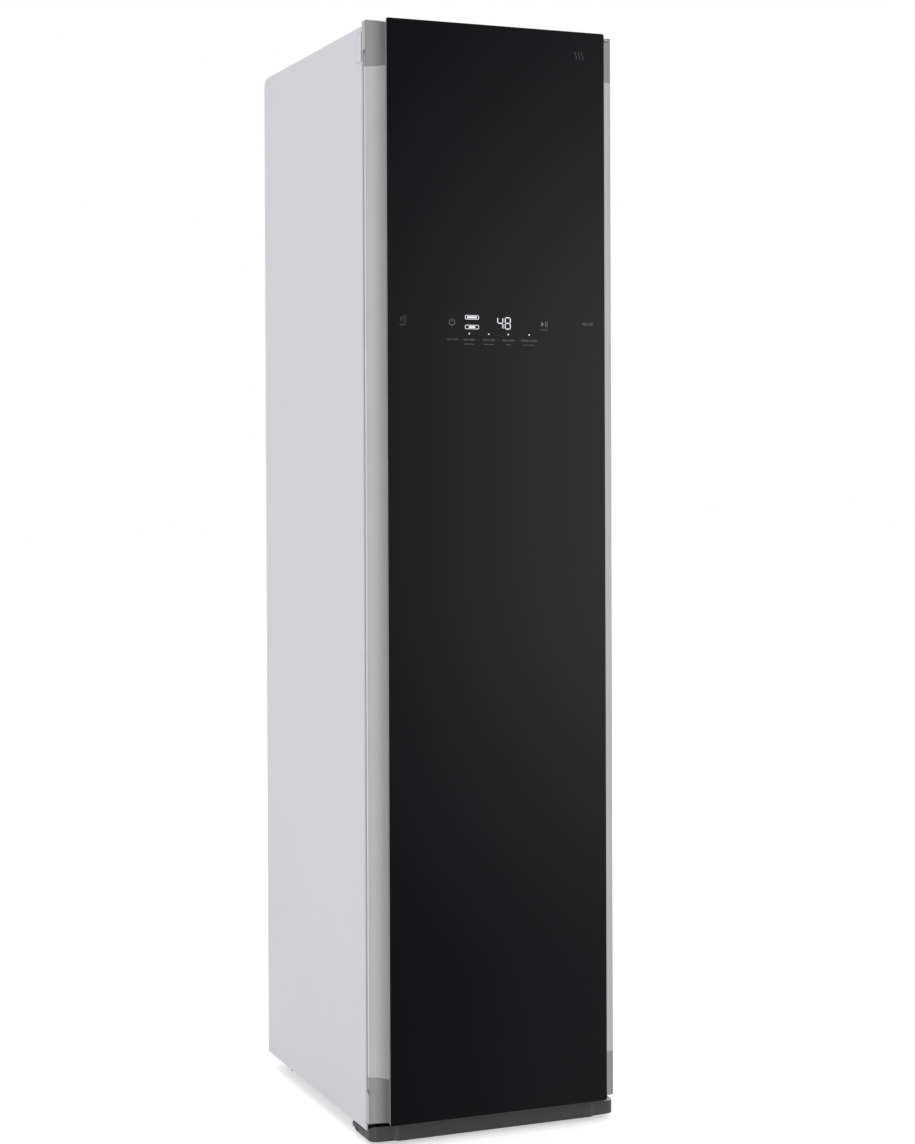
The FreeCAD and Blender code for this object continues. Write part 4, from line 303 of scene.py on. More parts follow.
def linked_object(name, data):
    made = bpy.data.objects.new(name, data)
    bpy.context.scene.collection.objects.link(made)
    return made


def bevel_edges(part, width_mm, segments=2, angle=35.0):
    """Softens the edges that turn by more than the angle, in degrees."""
    bevel = part.modifiers.new("edges", "BEVEL")
    bevel.width = width_mm * MM
    bevel.segments = segments
    bevel.limit_method = "ANGLE"
    bevel.angle_limit = math.radians(angle)
    return bevel


def shade_smooth(piece):
    for polygon in piece.data.polygons:
        polygon.use_smooth = True


def piece_from(name, form, material, body, replaces=None, edges=None):
    """Makes a named object and hands it to its body; edges go to bevel_edges, if given."""
    mesh = clean_mesh(name, form)
    mesh.materials.append(MATERIALS[material])
    made = linked_object(name, mesh)
    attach(made, body)
    if replaces:
        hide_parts(replaces)
    if edges:
        shade_smooth(made)
        bevel_edges(made, *edges).harden_normals = True
    return made


def dress(node, material, bevel_mm=0.0, segments=2):
    """Gives a CAD node its finish and, if asked, softened edges."""
    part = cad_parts[node]
    part.data.materials.clear()
    part.data.materials.append(MATERIALS[material])
    if bevel_mm:
        bevel_edges(part, bevel_mm, segments, NODE_EDGE_ANGLE)


def loft(rings, closed=False):
    """Faces between rings of equal length, with the two end rings filled unless closed."""
    count = len(rings[0])
    points = [p for ring in rings for p in ring]
    faces = []
    spans = len(rings) if closed else len(rings) - 1
    for r in range(spans):
        a, b = r * count, ((r + 1) % len(rings)) * count
        for i in range(count):
            j = (i + 1) % count
            faces.append((a + i, a + j, b + j, b + i))
    if not closed:
        faces.append(tuple(range(count)))
        faces.append(tuple(range((len(rings) - 1) * count, len(rings) * count)))
    return points, faces


def plan_loft(levels, closed=False):
    """Joins outlines in (x, y), given as (outline, z) pairs."""
    return loft([[Vector((x, y, z)) for x, y in line] for line, z in levels], closed)


def front_loft(levels, closed=False):
    """Joins outlines in (x, z), given as (outline, y) pairs."""
    return loft([[Vector((x, y, z)) for x, z in line] for line, y in levels], closed)


def side_loft(levels, closed=False):
    """Joins outlines in (y, z), given as (outline, x) pairs."""
    return loft([[Vector((x, y, z)) for y, z in line] for line, x in levels], closed)


def rim(joining, outer, inner, start, end):
    """Closed frame between two outlines from one level to another, by one of the lofts above."""
    return joining([(outer, start), (outer, end), (inner, end), (inner, start)], closed=True)


def plan_prism(outline, z0, z1):
    return plan_loft([(outline, z0), (outline, z1)])


def front_plate(outline, y0, y1):
    return front_loft([(outline, y0), (outline, y1)])


def side_plate(outline, x0, x1):
    return side_loft([(outline, x0), (outline, x1)])


def block(x0, x1, y0, y1, z0, z1):
    return plan_prism([(x0, y0), (x1, y0), (x1, y1), (x0, y1)], z0, z1)


def prism_to(outline, z0, top):
    """Upright prism whose far end follows top(y)."""
    return loft([[Vector((x, y, z0)) for x, y in outline], [Vector((x, y, top(y))) for x, y in outline]])


def ribbon(outer, inner, low, high):
    """A closed wall between two plan lines; low and high give each point pair's heights."""
    rings = []
    for (ox, oy), (ix, iy), z0, z1 in zip(outer, inner, low, high):
        rings.append([Vector((ox, oy, z0)), Vector((ox, oy, z1)),
                      Vector((ix, iy, z1)), Vector((ix, iy, z0))])
    return loft(rings)


def lathe(profile, centre, axis="Z", steps=48):
    """Turns (radius, height) points about an axis through centre."""
    rings = []
    for i in range(steps):
        angle = 2 * math.pi * i / steps
        ring = []
        for radius, height in profile:
            a, b = radius * math.cos(angle), radius * math.sin(angle)
            spot = {"Z": (a, b, height), "X": (height, a, b)}[axis]
            ring.append(Vector(centre) + Vector(spot))
        rings.append(ring)
    return loft(rings, closed=True)


def tube(path, radius, steps=14):
    """Round tube along a list of points, with its frame carried along the path."""
    path = [Vector(p) for p in path]
    rings = []
    side = (path[1] - path[0]).orthogonal().normalized()
    for i, here in enumerate(path):
        ahead = path[min(i + 1, len(path) - 1)] - path[max(i - 1, 0)]
        ahead.normalize()
        side = (side - ahead * side.dot(ahead)).normalized()
        over = ahead.cross(side)
        rings.append([here + (side * math.cos(t) + over * math.sin(t)) * radius
                      for t in (2 * math.pi * k / steps for k in range(steps))])
    return loft(rings)


def arc_points(cx, cy, radius, start, end, steps):
    return [(cx + radius * math.cos(math.radians(start + (end - start) * i / steps)),
             cy + radius * math.sin(math.radians(start + (end - start) * i / steps)))
            for i in range(steps + 1)]


def rounded_rectangle(x0, x1, y0, y1, radius, steps=8):
    """Corner-rounded rectangle as a list of (x, y), counter-clockwise."""
    points = []
    for cx, cy, start in ((x1 - radius, y1 - radius, 0), (x0 + radius, y1 - radius, 90),
                          (x0 + radius, y0 + radius, 180), (x1 - radius, y0 + radius, 270)):
        points += arc_points(cx, cy, radius, start, start + 90, steps)
    return points


def plan_outline(low, high, radius, inset=0.0):
    """Rounded outline of a box seen from above, moved in all round by an inset."""
    return rounded_rectangle(low.x + inset, high.x - inset, low.y + inset, high.y - inset, radius)


def front_outline(low, high, radius, inset=0.0):
    """Rounded outline of a box seen from the front, moved in all round by an inset."""
    return rounded_rectangle(low.x + inset, high.x - inset, low.z + inset, high.z - inset, radius)


def long_slot(x0, x1, y, width=VENT_WIDTH):
    """Outline of a slot with nearly round ends."""
    return rounded_rectangle(x0, x1, y, y + width, width / 2 - HAIR, 5)


def moulding(low, high, radius, y, section, tighten=1.0):
    """Closed raised band round a box's front outline; section holds (inset, rise) pairs in mm."""
    levels = [(front_outline(low, high, radius - inset * tighten, inset), y + rise)
              for inset, rise in scaled(section)]
    return front_loft(levels, closed=True)


def joined(*parts):
    """Several (points, faces) lists as one."""
    points, faces = [], []
    for part_points, part_faces in parts:
        base = len(points)
        points += list(part_points)
        faces += [tuple(base + i for i in face) for face in part_faces]
    return points, faces


def mirrored(form, side):
    """The form as it is for side 1, and turned over left to right for side -1."""
    points, faces = form
    return [Vector((side * p[0], p[1], p[2])) for p in points], faces


def carve(form, *cutters):
    """A closed form less its cutters, as (points, faces)."""
    body = linked_object("blank", clean_mesh("blank", form))
    tool = linked_object("blank", clean_mesh("blank", joined(*cutters)))
    cut = body.modifiers.new("cut", "BOOLEAN")
    cut.object = tool
    cut.operation = "DIFFERENCE"
    cut.solver = "EXACT"
    result = body.evaluated_get(bpy.context.evaluated_depsgraph_get()).to_mesh()
    points = [v.co.copy() for v in result.vertices]
    faces = [tuple(p.vertices) for p in result.polygons]
    for blank in (body, tool):
        bpy.data.objects.remove(blank, do_unlink=True)
    return points, faces


def middle_of(node):
    """A node's middle in plan, as (x, y)."""
    low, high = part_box(node)
    return (low.x + high.x) / 2, (low.y + high.y) / 2


def smooth(t):
    """0 up to 1 with soft ends."""
    t = max(0.0, min(1.0, t))
    return t * t * (3 - 2 * t)


def along(value, start, end):
    """Where a value lies between two ends, held to 0 to 1."""
    return max(0.0, min(1.0, (value - start) / (end - start)))


def sagitta(radius, offset):
    """How far a circle has fallen away at an offset from its top."""
    return radius - math.sqrt(max(0.0, radius ** 2 - offset ** 2))


# ---------------------------------------------------------------- cabinet outside

SHEET = 1.2 * MM
FOLD = 3.0 * MM
TOP_REAR_RADIUS = 20.0 * MM
CAP_MARGIN = 3.2 * MM
CAP_SETBACK = 0.4 * MM
CAP_RADIUS = 1.4 * MM
CAP_LEAST_RADIUS = 0.4 * MM
CAP_RIM = 1.1 * MM
CAP_RIM_HEIGHT = 0.8 * MM
CAP_PLATE_HEIGHT = 0.25 * MM
# Width and height of the thin grey ring painted as shadow round the access cover.
CAP_SHADOW_LINE = 0.55 * MM
CAP_SHADOW_LINE_HEIGHT = 0.08 * MM
BEAD_HALF = 150.0 * MM
BEAD_RADIUS = 24.0 * MM
BEAD_HEIGHTS = (mm(1040.0, 1690.0), mm(360.0, 1000.0))
BEAD_SECTION = ((0.0, -0.3), (1.5, 0.7), (4.0, 1.5), (7.0, 1.5), (9.5, 0.7), (11.0, -0.3))
HOOD_X = 100.0 * MM
HOOD_HALF, HOOD_TALL, HOOD_REACH, HOOD_SHEET, HOOD_SUNK = mm(55.0, 7.5, 3.2, 0.8, 0.2)
HOOD_INSIDE = 0.86
HOOD_ROWS = 12
HOOD_FIRST, HOOD_PITCH = mm(110.0, 14.0)


def side_panel(side):
    """One folded sheet: flange across the front, round fold, long side, round top corner."""
    x, front = HALF_WIDTH, SIDE_LOW.y
    flange_x = x - (SIDE_HIGH.x - SIDE_LOW.x)
    bend_y = front + FOLD
    rear_start = SIDE_HIGH.y - TOP_REAR_RADIUS
    places = [bend_y + (rear_start - bend_y) * i / 6 for i in range(1, 7)]
    places += [y for _, y in arc_points(0.0, rear_start, TOP_REAR_RADIUS, 0, 90, 16)[1:]]
    outer = [(flange_x, front)] + arc_points(x - FOLD, bend_y, FOLD, -90, 0, 8)
    outer += [(x, y) for y in places]
    inner = [(flange_x, front + SHEET)] + arc_points(x - FOLD, bend_y, FOLD - SHEET, -90, 0, 8)
    inner += [(x - SHEET, y) for y in places]
    low = [SIDE_LOW.z] * len(outer)
    high = [SIDE_HIGH.z - sagitta(TOP_REAR_RADIUS, max(0.0, y - rear_start)) for _, y in outer]
    return mirrored(ribbon(outer, inner, low, high), side)


def access_outline(inset):
    """Outline in (y, z) of the small cover near the top hinge, moved in by an inset."""
    low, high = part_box("hinge_access_caps")
    return rounded_rectangle(SIDE_LOW.y + CAP_SETBACK + inset, high.y - CAP_MARGIN - inset,
                             low.z + CAP_MARGIN + inset, high.z - CAP_MARGIN - inset,
                             max(CAP_LEAST_RADIUS, CAP_RADIUS - inset))


def access_cap(side):
    """Small cover plate near the hinge corner: a plate inside a thin raised rim."""
    inside = access_outline(CAP_RIM)
    plate = side_plate(inside, HALF_WIDTH, HALF_WIDTH + CAP_PLATE_HEIGHT)
    edge = rim(side_loft, access_outline(0.0), inside, HALF_WIDTH, HALF_WIDTH + CAP_RIM_HEIGHT)
    return mirrored(joined(plate, edge), side)


def access_shadow_line(side):
    """Painted shadow: a thin grey ring round the cover plate, standing for the shade where it meets the
    panel.
    """
    line = rim(side_loft, access_outline(-CAP_SHADOW_LINE), access_outline(0.0), HALF_WIDTH,
               HALF_WIDTH + CAP_SHADOW_LINE_HEIGHT)
    return mirrored(line, side)


def back_bead(foot, head):
    """Rounded stiffening bead pressed out of the back sheet."""
    return moulding(Vector((-BEAD_HALF, 0, foot)), Vector((BEAD_HALF, 0, head)), BEAD_RADIUS, BACK_FACE,
                    BEAD_SECTION)


def louvre_hood(x, z):
    """Pressed hood over one air slot, open along its foot."""
    rings = []
    for i in range(13):
        t = -1 + 2 * i / 12
        swell = math.sqrt(max(0.0, 1 - t ** 8))
        outside = [(BACK_FACE + HOOD_REACH * swell * math.cos(a), HOOD_TALL * swell * math.sin(a))
                   for a in (math.radians(90.0 * k / 8) for k in range(9))]
        inside = [(max(BACK_FACE - HOOD_SUNK, y - HOOD_SHEET), rise * HOOD_INSIDE)
                  for y, rise in reversed(outside)]
        rings.append([Vector((x + HOOD_HALF * t, y, z + rise)) for y, rise in outside + inside])
    return loft(rings)


def back_pressings():
    beads = [back_bead(*heights) for heights in BEAD_HEIGHTS]
    hoods = [louvre_hood(x, HOOD_FIRST + HOOD_PITCH * row) for x in (-HOOD_X, HOOD_X)
             for row in range(HOOD_ROWS)]
    return joined(*beads, *hoods)


def build_cabinet_outside():
    for side, word in ((-1, "left"), (1, "right")):
        piece_from(word + "_side_skin", side_panel(side), "cabinet_paint", "cabinet",
                   word + "_side_panel", edges=(0.35,))
    piece_from("access_cap_plates", joined(access_cap(-1), access_cap(1)), "cabinet_plastic",
               "cabinet", "hinge_access_caps", edges=(0.15,))
    # The grey ring round the cover plates is painted shadow.
    piece_from("access_cap_painted_shadow", joined(access_shadow_line(-1), access_shadow_line(1)), "press_plastic",
               "cabinet")
    dress("top_cover", "cabinet_paint", 0.3)
    dress("back_panel", "zinc_sheet")
    piece_from("back_panel_pressings", back_pressings(), "zinc_sheet", "cabinet", edges=(0.3, 2, 60))
    dress("panel_screws", "screw_steel", 0.25)
    dress("base_frame", "black_plastic", 0.4)
    dress("power_cord", "cord_rubber")


# ---------------------------------------------------------------- kick plate and feet

KICK_WALL = 3.0 * MM
KICK_RADIUS = 14.0 * MM
KICK_PROUD = 2.0 * MM
KICK_SWEEP = 4.0 * MM
KICK_STEP_X = 178.0 * MM
KICK_STEP_RUN = 5.0 * MM
KICK_FOOT = 8.0 * MM
KICK_MIDDLE_DROP = 0.6 * MM
KICK_RETURN_HEAD = 20.5 * MM
KICK_SLOPE = mm(-266.0, -240.0)
KICK_HEEL = mm(-200.0, -176.0)
HEEL_RISE = 4.5 * MM
LEDGE = 3.0 * MM
LEDGE_GAP = 0.2 * MM
RISER = 1.5 * MM
RISER_OVERLAP = 8.0 * MM
CLIP_Y, CLIP_Z = mm(-199.0, 12.5)
CLIP_PROFILE = ((0.0, -0.4), (3.2, -0.4), (3.2, 0.2), (2.6, 0.6), (0.0, 0.7))
# the foot's own sizes are in millimetres, as (radius, height)
FOOT_HEIGHT = 50.0
FOOT_PAD = [(0.0, 0.0), (14.0, 0.0), (16.0, 1.2), (16.0, 4.0), (14.5, 6.2), (9.0, 8.0), (9.0, 8.4),
            (5.0, 13.5)]
THREAD_PITCH = 1.25
THREAD_CREST, THREAD_ROOT = 4.95, 4.3
THREAD_RUNOUT = 1.5
NUT_RADIUS = 8.0 * MM
NUT_HEIGHTS = mm(8.0, 13.4)


def kick_middle(x):
    """1 on the prouder middle stretch of the kick plate, 0 on its ends."""
    return smooth((KICK_STEP_X + KICK_STEP_RUN / 2 - abs(x)) / KICK_STEP_RUN)


def kick_heights(x, y):
    """Low and high edges of the kick plate at a place on its plan line."""
    low = KICK_FOOT - kick_middle(x) * KICK_MIDDLE_DROP + smooth(along(y, *KICK_HEEL)) * HEEL_RISE
    high = KICK_HIGH.z - along(y, *KICK_SLOPE) * (KICK_HIGH.z - KICK_RETURN_HEAD)
    return low, high


def kick_sweep(x):
    """How far the ends of the kick plate curve back from the plain front line."""
    return KICK_SWEEP * along(abs(x), KICK_STEP_X, KICK_HIGH.x)


def kick_line(inset):
    """Plan line of the kick plate from the right rear end round to the left rear end."""
    x = KICK_HIGH.x - inset
    front = KICK_LOW.y + KICK_PROUD + inset
    rear = KICK_HIGH.y
    radius = KICK_RADIUS - inset
    span = x - radius
    corner_y = front + radius + kick_sweep(span)
    stops, spots = 40, 120
    points = [(x, rear + (corner_y - rear) * i / stops) for i in range(stops)]
    points += arc_points(span, corner_y, radius, 0, -90, 14)
    for i in range(1, spots):
        px = span - 2 * span * i / spots
        points.append((px, front - kick_middle(px) * KICK_PROUD + kick_sweep(px)))
    points += [(-a, b) for a, b in arc_points(span, corner_y, radius, -90, 0, 14)]
    points += [(-x, corner_y + (rear - corner_y) * i / stops) for i in range(1, stops + 1)]
    return points


def kick_cover():
    outer = kick_line(0.0)
    low, high = zip(*[kick_heights(x, y) for x, y in outer])
    return ribbon(outer, kick_line(KICK_WALL), low, high)


def kick_shade_deck():
    """Near-black ledge and riser behind the kick plate, painted shade that closes the view under the door.
    """
    x = KICK_HIGH.x - KICK_WALL
    plan = [p for p in kick_line(KICK_WALL + LEDGE_GAP) if p[1] <= SIDE_LOW.y]
    ledge = plan_prism(plan, KICK_RETURN_HEAD - LEDGE, KICK_RETURN_HEAD)
    riser = block(-x, x, SIDE_LOW.y - RISER, SIDE_LOW.y, KICK_RETURN_HEAD, SIDE_LOW.z + RISER_OVERLAP)
    return joined(ledge, riser)


def kick_clips():
    """Round plugs that hold the returns of the kick plate."""
    return joined(*[lathe([(r * MM, side * h * MM) for r, h in CLIP_PROFILE],
                          (side * KICK_HIGH.x, CLIP_Y, CLIP_Z), "X", 24) for side in (-1, 1)])


def foot_profile():
    """Turned foot: dished pad, neck, and a threaded stud with real ridges."""
    profile = list(FOOT_PAD)
    z = FOOT_PAD[-1][1]
    while z < FOOT_HEIGHT - THREAD_RUNOUT:
        profile += [(THREAD_CREST, z), (THREAD_ROOT, z + 0.6), (THREAD_CREST, z + 1.2)]
        z += THREAD_PITCH
    profile.append((0.0, z + 0.2))
    return scaled(profile)


def build_base():
    piece_from("kick_cover", kick_cover(), "kick_plastic", "cabinet", "kick_plate", edges=(0.9, 3, 50))
    # The ledge and riser are a near-black sheet standing for the shade under the door.
    piece_from("kick_painted_shade_ledge", kick_shade_deck(), "black_plug_and_painted_shade", "cabinet")
    piece_from("kick_plugs", kick_clips(), "black_plug_and_painted_shade", "cabinet")
    for node in ("front_left_foot", "front_right_foot", "rear_left_foot", "rear_right_foot"):
        x, y = middle_of(node)
        turned = lathe(foot_profile(), (x, y, 0.0))
        nut = plan_prism(arc_points(x, y, NUT_RADIUS, 0, 300, 5), *NUT_HEIGHTS)
        piece_from(node + "_turned", joined(turned, nut), "foot_plastic", node, node)


# ---------------------------------------------------------------- door outside

COVE_SAGITTA = 5.0 * MM
COVE_GAP = 0.5 * MM
CORNER_DEPTH = 1.8 * MM
LIP_THICKNESS = 3.5 * MM
LIP_RADIUS = 1.0 * MM
LIP_REAR = EDGE_HIGH.y
CORE_GAP = 0.1 * MM
BACK_OF_GLASS = GLASS_HIGH.y + 0.6 * MM
CAP_FALL = 7.5 * MM
CAP_RISE = 5.5 * MM
CAP_BAR = 30.0 * MM
PAD_WIDTH = 18.0 * MM
PAD_HEIGHT = 49.0 * MM
PAD_GAP = 7.0 * MM
HINGE_SHELF = 1841.5 * MM
HINGE_SIDE = 186.0 * MM
PIVOT_X, PIVOT_Y = mm(203.0, -270.0)
COVER_REACH = 16.0 * MM
COVER_COVE_X = PIVOT_X - 4.5 * MM
COVER_REAR = scaled([(221.0, -206.0), (180.5, -206.0), (180.5, -243.0), (187.5, -254.0)])
COVER_EDGE_Y = -256.0 * MM
COVER_GAP = 0.4 * MM
COVER_DROP = 0.3 * MM
ARM_HALF = 9.0 * MM
ARM_REAR = -206.0 * MM
ARM_FOOT = TOP_HIGH.z + 0.1 * MM
ARM_SHEET = 2.2 * MM
ARM_PLATE = mm(182.0, 219.0, -240.0, -207.0, 4.0)
ARM_PLATE_SHEET = 2.4 * MM
PIN = 3.5 * MM
PIN_CHAMFER = 0.5 * MM
PIN_COLLAR = 6.0 * MM
PIN_TIP, PIN_SHOULDER = mm(1815.0, 1815.8)
TONGUE_FOOT = 33.6 * MM
TONGUE_SHEET = 3.0 * MM
LOWER_PIN = [(6.0, 37.8), (3.5, 37.8), (3.5, 61.0), (2.7, 62.0), (0.0, 62.0)]
LEG_FOOT = 26.0 * MM
LEG_DEPTH = 3.0 * MM
HEAD_PAD_GAP = 0.3 * MM
HEAD_PAD_CUTS = mm(4.0, 3.0)
FOOT_PAD_CUTS = mm(1.0, 5.0)
SHARP_ANGLE = math.radians(8.0)
GLASS_CORNER = 3.5 * MM
ARRIS = 0.5 * MM
REAR_ARRIS = 1.3 * MM


def cove_points(steps=32):
    """The finger cove in plan, from behind the glass out to the door's rear corner."""
    start = Vector((GLASS_HIGH.x + COVE_GAP, BACK_OF_GLASS))
    end = Vector((HALF_WIDTH, DOOR_REAR - CORNER_DEPTH))
    chord = end - start
    half = chord.length / 2
    radius = (half ** 2 + COVE_SAGITTA ** 2) / (2 * COVE_SAGITTA)
    outward = Vector((chord.y, -chord.x)).normalized()
    centre = (start + end) / 2 + outward * (radius - COVE_SAGITTA)
    first, last = (math.degrees(math.atan2(p.y - centre.y, p.x - centre.x)) for p in (start, end))
    turn = (last - first + 180) % 360 - 180
    return arc_points(centre.x, centre.y, radius, first, first + turn, steps)


def edge_outline(with_lip):
    """Plan of the right door edge: cove, rear corner and, where there is one, the lip."""
    inner_x = CORE_HIGH.x + CORE_GAP
    points = [(inner_x, BACK_OF_GLASS)] + cove_points()
    if with_lip:
        lip_x = HALF_WIDTH - LIP_THICKNESS
        points += arc_points(HALF_WIDTH - LIP_RADIUS, LIP_REAR - LIP_RADIUS, LIP_RADIUS, 0, 90, 6)
        points += [(lip_x, LIP_REAR), (lip_x, DOOR_REAR)]
    else:
        points.append((HALF_WIDTH, DOOR_REAR))
    return points + [(inner_x, DOOR_REAR)]


def cap_top(y):
    """Height of the door's head, which falls towards the glass."""
    return HEAD_HIGH.z - CAP_FALL * (1 - along(y, BACK_OF_GLASS, DOOR_REAR))


def cap_shelf(y):
    """Height of the door's head on the hinge side, cut down to clear the hinge."""
    return min(cap_top(y), HINGE_SHELF)


def cap_foot(y):
    """Height of the door's foot, which rises towards the glass."""
    return FOOT_LOW.z + CAP_RISE * (1 - along(y, BACK_OF_GLASS, DOOR_REAR))


def build_door_edges():
    bar = plan_prism(edge_outline(True), EDGE_LOW.z, EDGE_HIGH.z)
    for side, word in ((-1, "left"), (1, "right")):
        edge = piece_from(word + "_cove_profile", mirrored(bar, side), "silver_profile", "door",
                          word + "_door_profile", edges=(0.15, 2, 50))
        edge.data.set_sharp_from_angle(angle=SHARP_ANGLE)
        # The flat lip faces take the lighter silver, a painted highlight in place of the light the lip's
        # edge catches.
        edge.data.materials.append(MATERIALS["painted_highlight_lip_silver"])
        for polygon in edge.data.polygons:
            gets_painted_highlight = abs(polygon.normal.x) > 0.99 and polygon.center.y > DOOR_REAR
            polygon.material_index = 1 if gets_painted_highlight else 0


def head_cap():
    """Cap across the door's head: sloping ears, bar, and the shelf that clears the hinge."""
    ear_foot = HEAD_HIGH.z - PAD_HEIGHT - PAD_GAP
    bar_foot = HEAD_HIGH.z - CAP_BAR
    x = CORE_HIGH.x
    left = joined(plan_prism(edge_outline(True), HEAD_LOW.z, ear_foot),
                  prism_to(edge_outline(False), ear_foot, cap_top))
    right = prism_to(edge_outline(True), HEAD_LOW.z, cap_shelf)
    bar = [(-x, BACK_OF_GLASS), (HINGE_SIDE, BACK_OF_GLASS), (HINGE_SIDE, DOOR_REAR), (-x, DOOR_REAR)]
    return joined(mirrored(left, -1), right, prism_to(bar, bar_foot, cap_top),
                  block(HINGE_SIDE, x, BACK_OF_GLASS, DOOR_REAR, bar_foot, HINGE_SHELF))


def foot_cap():
    ear_head = FOOT_LOW.z + PAD_HEIGHT + PAD_GAP
    x = CORE_HIGH.x
    left = joined(prism_to(edge_outline(False), ear_head, cap_foot),
                  plan_prism(edge_outline(True), ear_head, FOOT_HIGH.z))
    right = prism_to(edge_outline(True), FOOT_HIGH.z, cap_foot)
    bar = block(-x, x, BACK_OF_GLASS, DOOR_REAR, FOOT_LOW.z, FOOT_LOW.z + CAP_BAR)
    return joined(mirrored(left, -1), right, bar)


def closing_pad(z0, z1, low_cut, high_cut):
    """Block behind the free edge that fills the gap to the cabinet when shut."""
    y0, y1 = DOOR_REAR, HEAD_HIGH.y
    corners = [(y0, z0 + low_cut), (y0 + low_cut, z0), (y1, z0), (y1, z1 - high_cut / 2),
               (y1 - high_cut / 2, z1), (y0 + high_cut, z1), (y0, z1 - high_cut)]
    return side_plate(corners, -HALF_WIDTH, PAD_WIDTH - HALF_WIDTH)


def hinge_cover():
    """Moulded cover over the top hinge arm that carries the door's edge line up to its head."""
    outline = arc_points(PIVOT_X, PIVOT_Y, COVER_REACH, 155, 250, 16)
    outline += [p for p in cove_points() if p[0] > COVER_COVE_X]
    outline += [(HALF_WIDTH, COVER_EDGE_Y)] + COVER_REAR
    return prism_to(outline, HINGE_SHELF + COVER_GAP, lambda y: cap_top(y) - COVER_DROP)


def hinge_arm(rear, foot, thickness):
    """Flat plate with a round end about the door's pivot."""
    outline = [(PIVOT_X - ARM_HALF, rear), (PIVOT_X - ARM_HALF, PIVOT_Y)]
    outline += arc_points(PIVOT_X, PIVOT_Y, ARM_HALF, 180, 360, 20) + [(PIVOT_X + ARM_HALF, rear)]
    return plan_prism(outline, foot, foot + thickness)


def hinge_metal():
    """Both hinge brackets: pressed plates with their pins, the upper one under its cover."""
    place = (PIVOT_X, PIVOT_Y, 0)
    plate = plan_prism(rounded_rectangle(*ARM_PLATE), ARM_FOOT, ARM_FOOT + ARM_PLATE_SHEET)
    upper_pin = lathe([(0, PIN_TIP), (PIN - PIN_CHAMFER, PIN_TIP), (PIN, PIN_SHOULDER), (PIN, ARM_FOOT),
                       (0, ARM_FOOT)], place, steps=24)
    lower_pin = lathe([(0, TONGUE_FOOT), (PIN_COLLAR, TONGUE_FOOT)] + scaled(LOWER_PIN), place, steps=24)
    leg = block(PIVOT_X - ARM_HALF, PIVOT_X + ARM_HALF, SIDE_LOW.y - LEG_DEPTH, SIDE_LOW.y - HAIR,
                LEG_FOOT, TONGUE_FOOT)
    return joined(hinge_arm(ARM_REAR, ARM_FOOT, ARM_SHEET), plate, upper_pin,
                  hinge_arm(SIDE_LOW.y, TONGUE_FOOT, TONGUE_SHEET), lower_pin, leg)


def build_hinges():
    piece_from("hinge_plates_and_pins", hinge_metal(), "bright_steel", "cabinet", "hinge_brackets",
               edges=(0.3, 2, 50))


def build_door_caps():
    for name, form, body, node in (("door_head_cap", head_cap(), "door", "door_top_cap"),
                                   ("door_foot_cap", foot_cap(), "door", "door_bottom_cap"),
                                   ("hinge_arm_cover", hinge_cover(), "cabinet", None)):
        cap = piece_from(name, form, "cap_grey", body, node, edges=(0.35, 2, 50))
        cap.data.set_sharp_from_angle(angle=SHARP_ANGLE)
    head = closing_pad(HEAD_HIGH.z - PAD_HEIGHT, HEAD_HIGH.z - HEAD_PAD_GAP, *HEAD_PAD_CUTS)
    foot = closing_pad(FOOT_LOW.z, FOOT_LOW.z + PAD_HEIGHT, *FOOT_PAD_CUTS)
    for name, form in (("head_closing_pad", head), ("foot_closing_pad", foot)):
        piece_from(name, form, "silver_profile", "door", edges=(0.8, 3))


def build_glass():
    """Polished plate: flat faces, ground arris and a bright edge."""
    levels = [(GLASS_LOW.y, ARRIS), (GLASS_LOW.y + ARRIS, 0.0),
              (GLASS_HIGH.y - REAR_ARRIS, 0.0), (GLASS_HIGH.y, REAR_ARRIS)]
    form = front_loft([(front_outline(GLASS_LOW, GLASS_HIGH, GLASS_CORNER - inset, inset), y)
                       for y, inset in levels])
    plate = piece_from("door_glass_plate", form, "black_glass", "door", "door_glass")
    plate.data.materials.append(MATERIALS["glass_edge"])
    for polygon in plate.data.polygons:
        polygon.material_index = 0 if abs(polygon.normal.y) > 0.2 else 1


# ---------------------------------------------------------------- touch symbols

# Flat shapes a hair in front of the glass. Their places and sizes are in millimetres.
PRINT_BACK = GLASS_LOW.y - 0.01 * MM
PRINT_FACE = GLASS_LOW.y - 0.05 * MM
DISPLAY_Z = 1356.0
DIGIT_X = (3.6, 17.2)
DIGIT_HALF_WIDTH, DIGIT_HALF_HEIGHT = 4.6, 9.4
SEGMENT = 1.7
LAMP_Z = 1337.6
LAMP_RADIUS = 1.25
LAMP_X = (-52.2, -17.0, 18.1, 56.2)
PILL_X = -47.3
PILLS = ((1364.7, 18.0), (1348.7, 12.0))
PILL_WIDTH, PILL_HEIGHT, PILL_LINE = 25.0, 7.0, 1.0
POWER_X, PLAY_X = -83.0, 83.5
TAG_PLACE = (-170.0, 1358.0)
STEAM_PLACE = (150.0, 1810.0)
CAPTION_Z = 1327.7
SUBCAPTION_Z = 1320.4

# x, z, the widths of the dashes, and their height
CAPTIONS = (
    (-52.3, CAPTION_Z, (9, 11), 3.2), (-16.9, CAPTION_Z, (12, 9), 3.2),
    (18.4, CAPTION_Z, (10, 12), 3.2), (55.8, CAPTION_Z, (15, 14), 3.2),
    (-52.3, SUBCAPTION_Z, (18,), 1.8), (-16.9, SUBCAPTION_Z, (8, 10), 1.8),
    (18.4, SUBCAPTION_Z, (9,), 1.8), (55.8, SUBCAPTION_Z, (9, 10), 1.8),
    (-82.3, CAPTION_Z, (10, 9), 2.0), (83.4, 1346.4, (14,), 1.8), (164.0, 1357.7, (11, 9), 4.6),
)


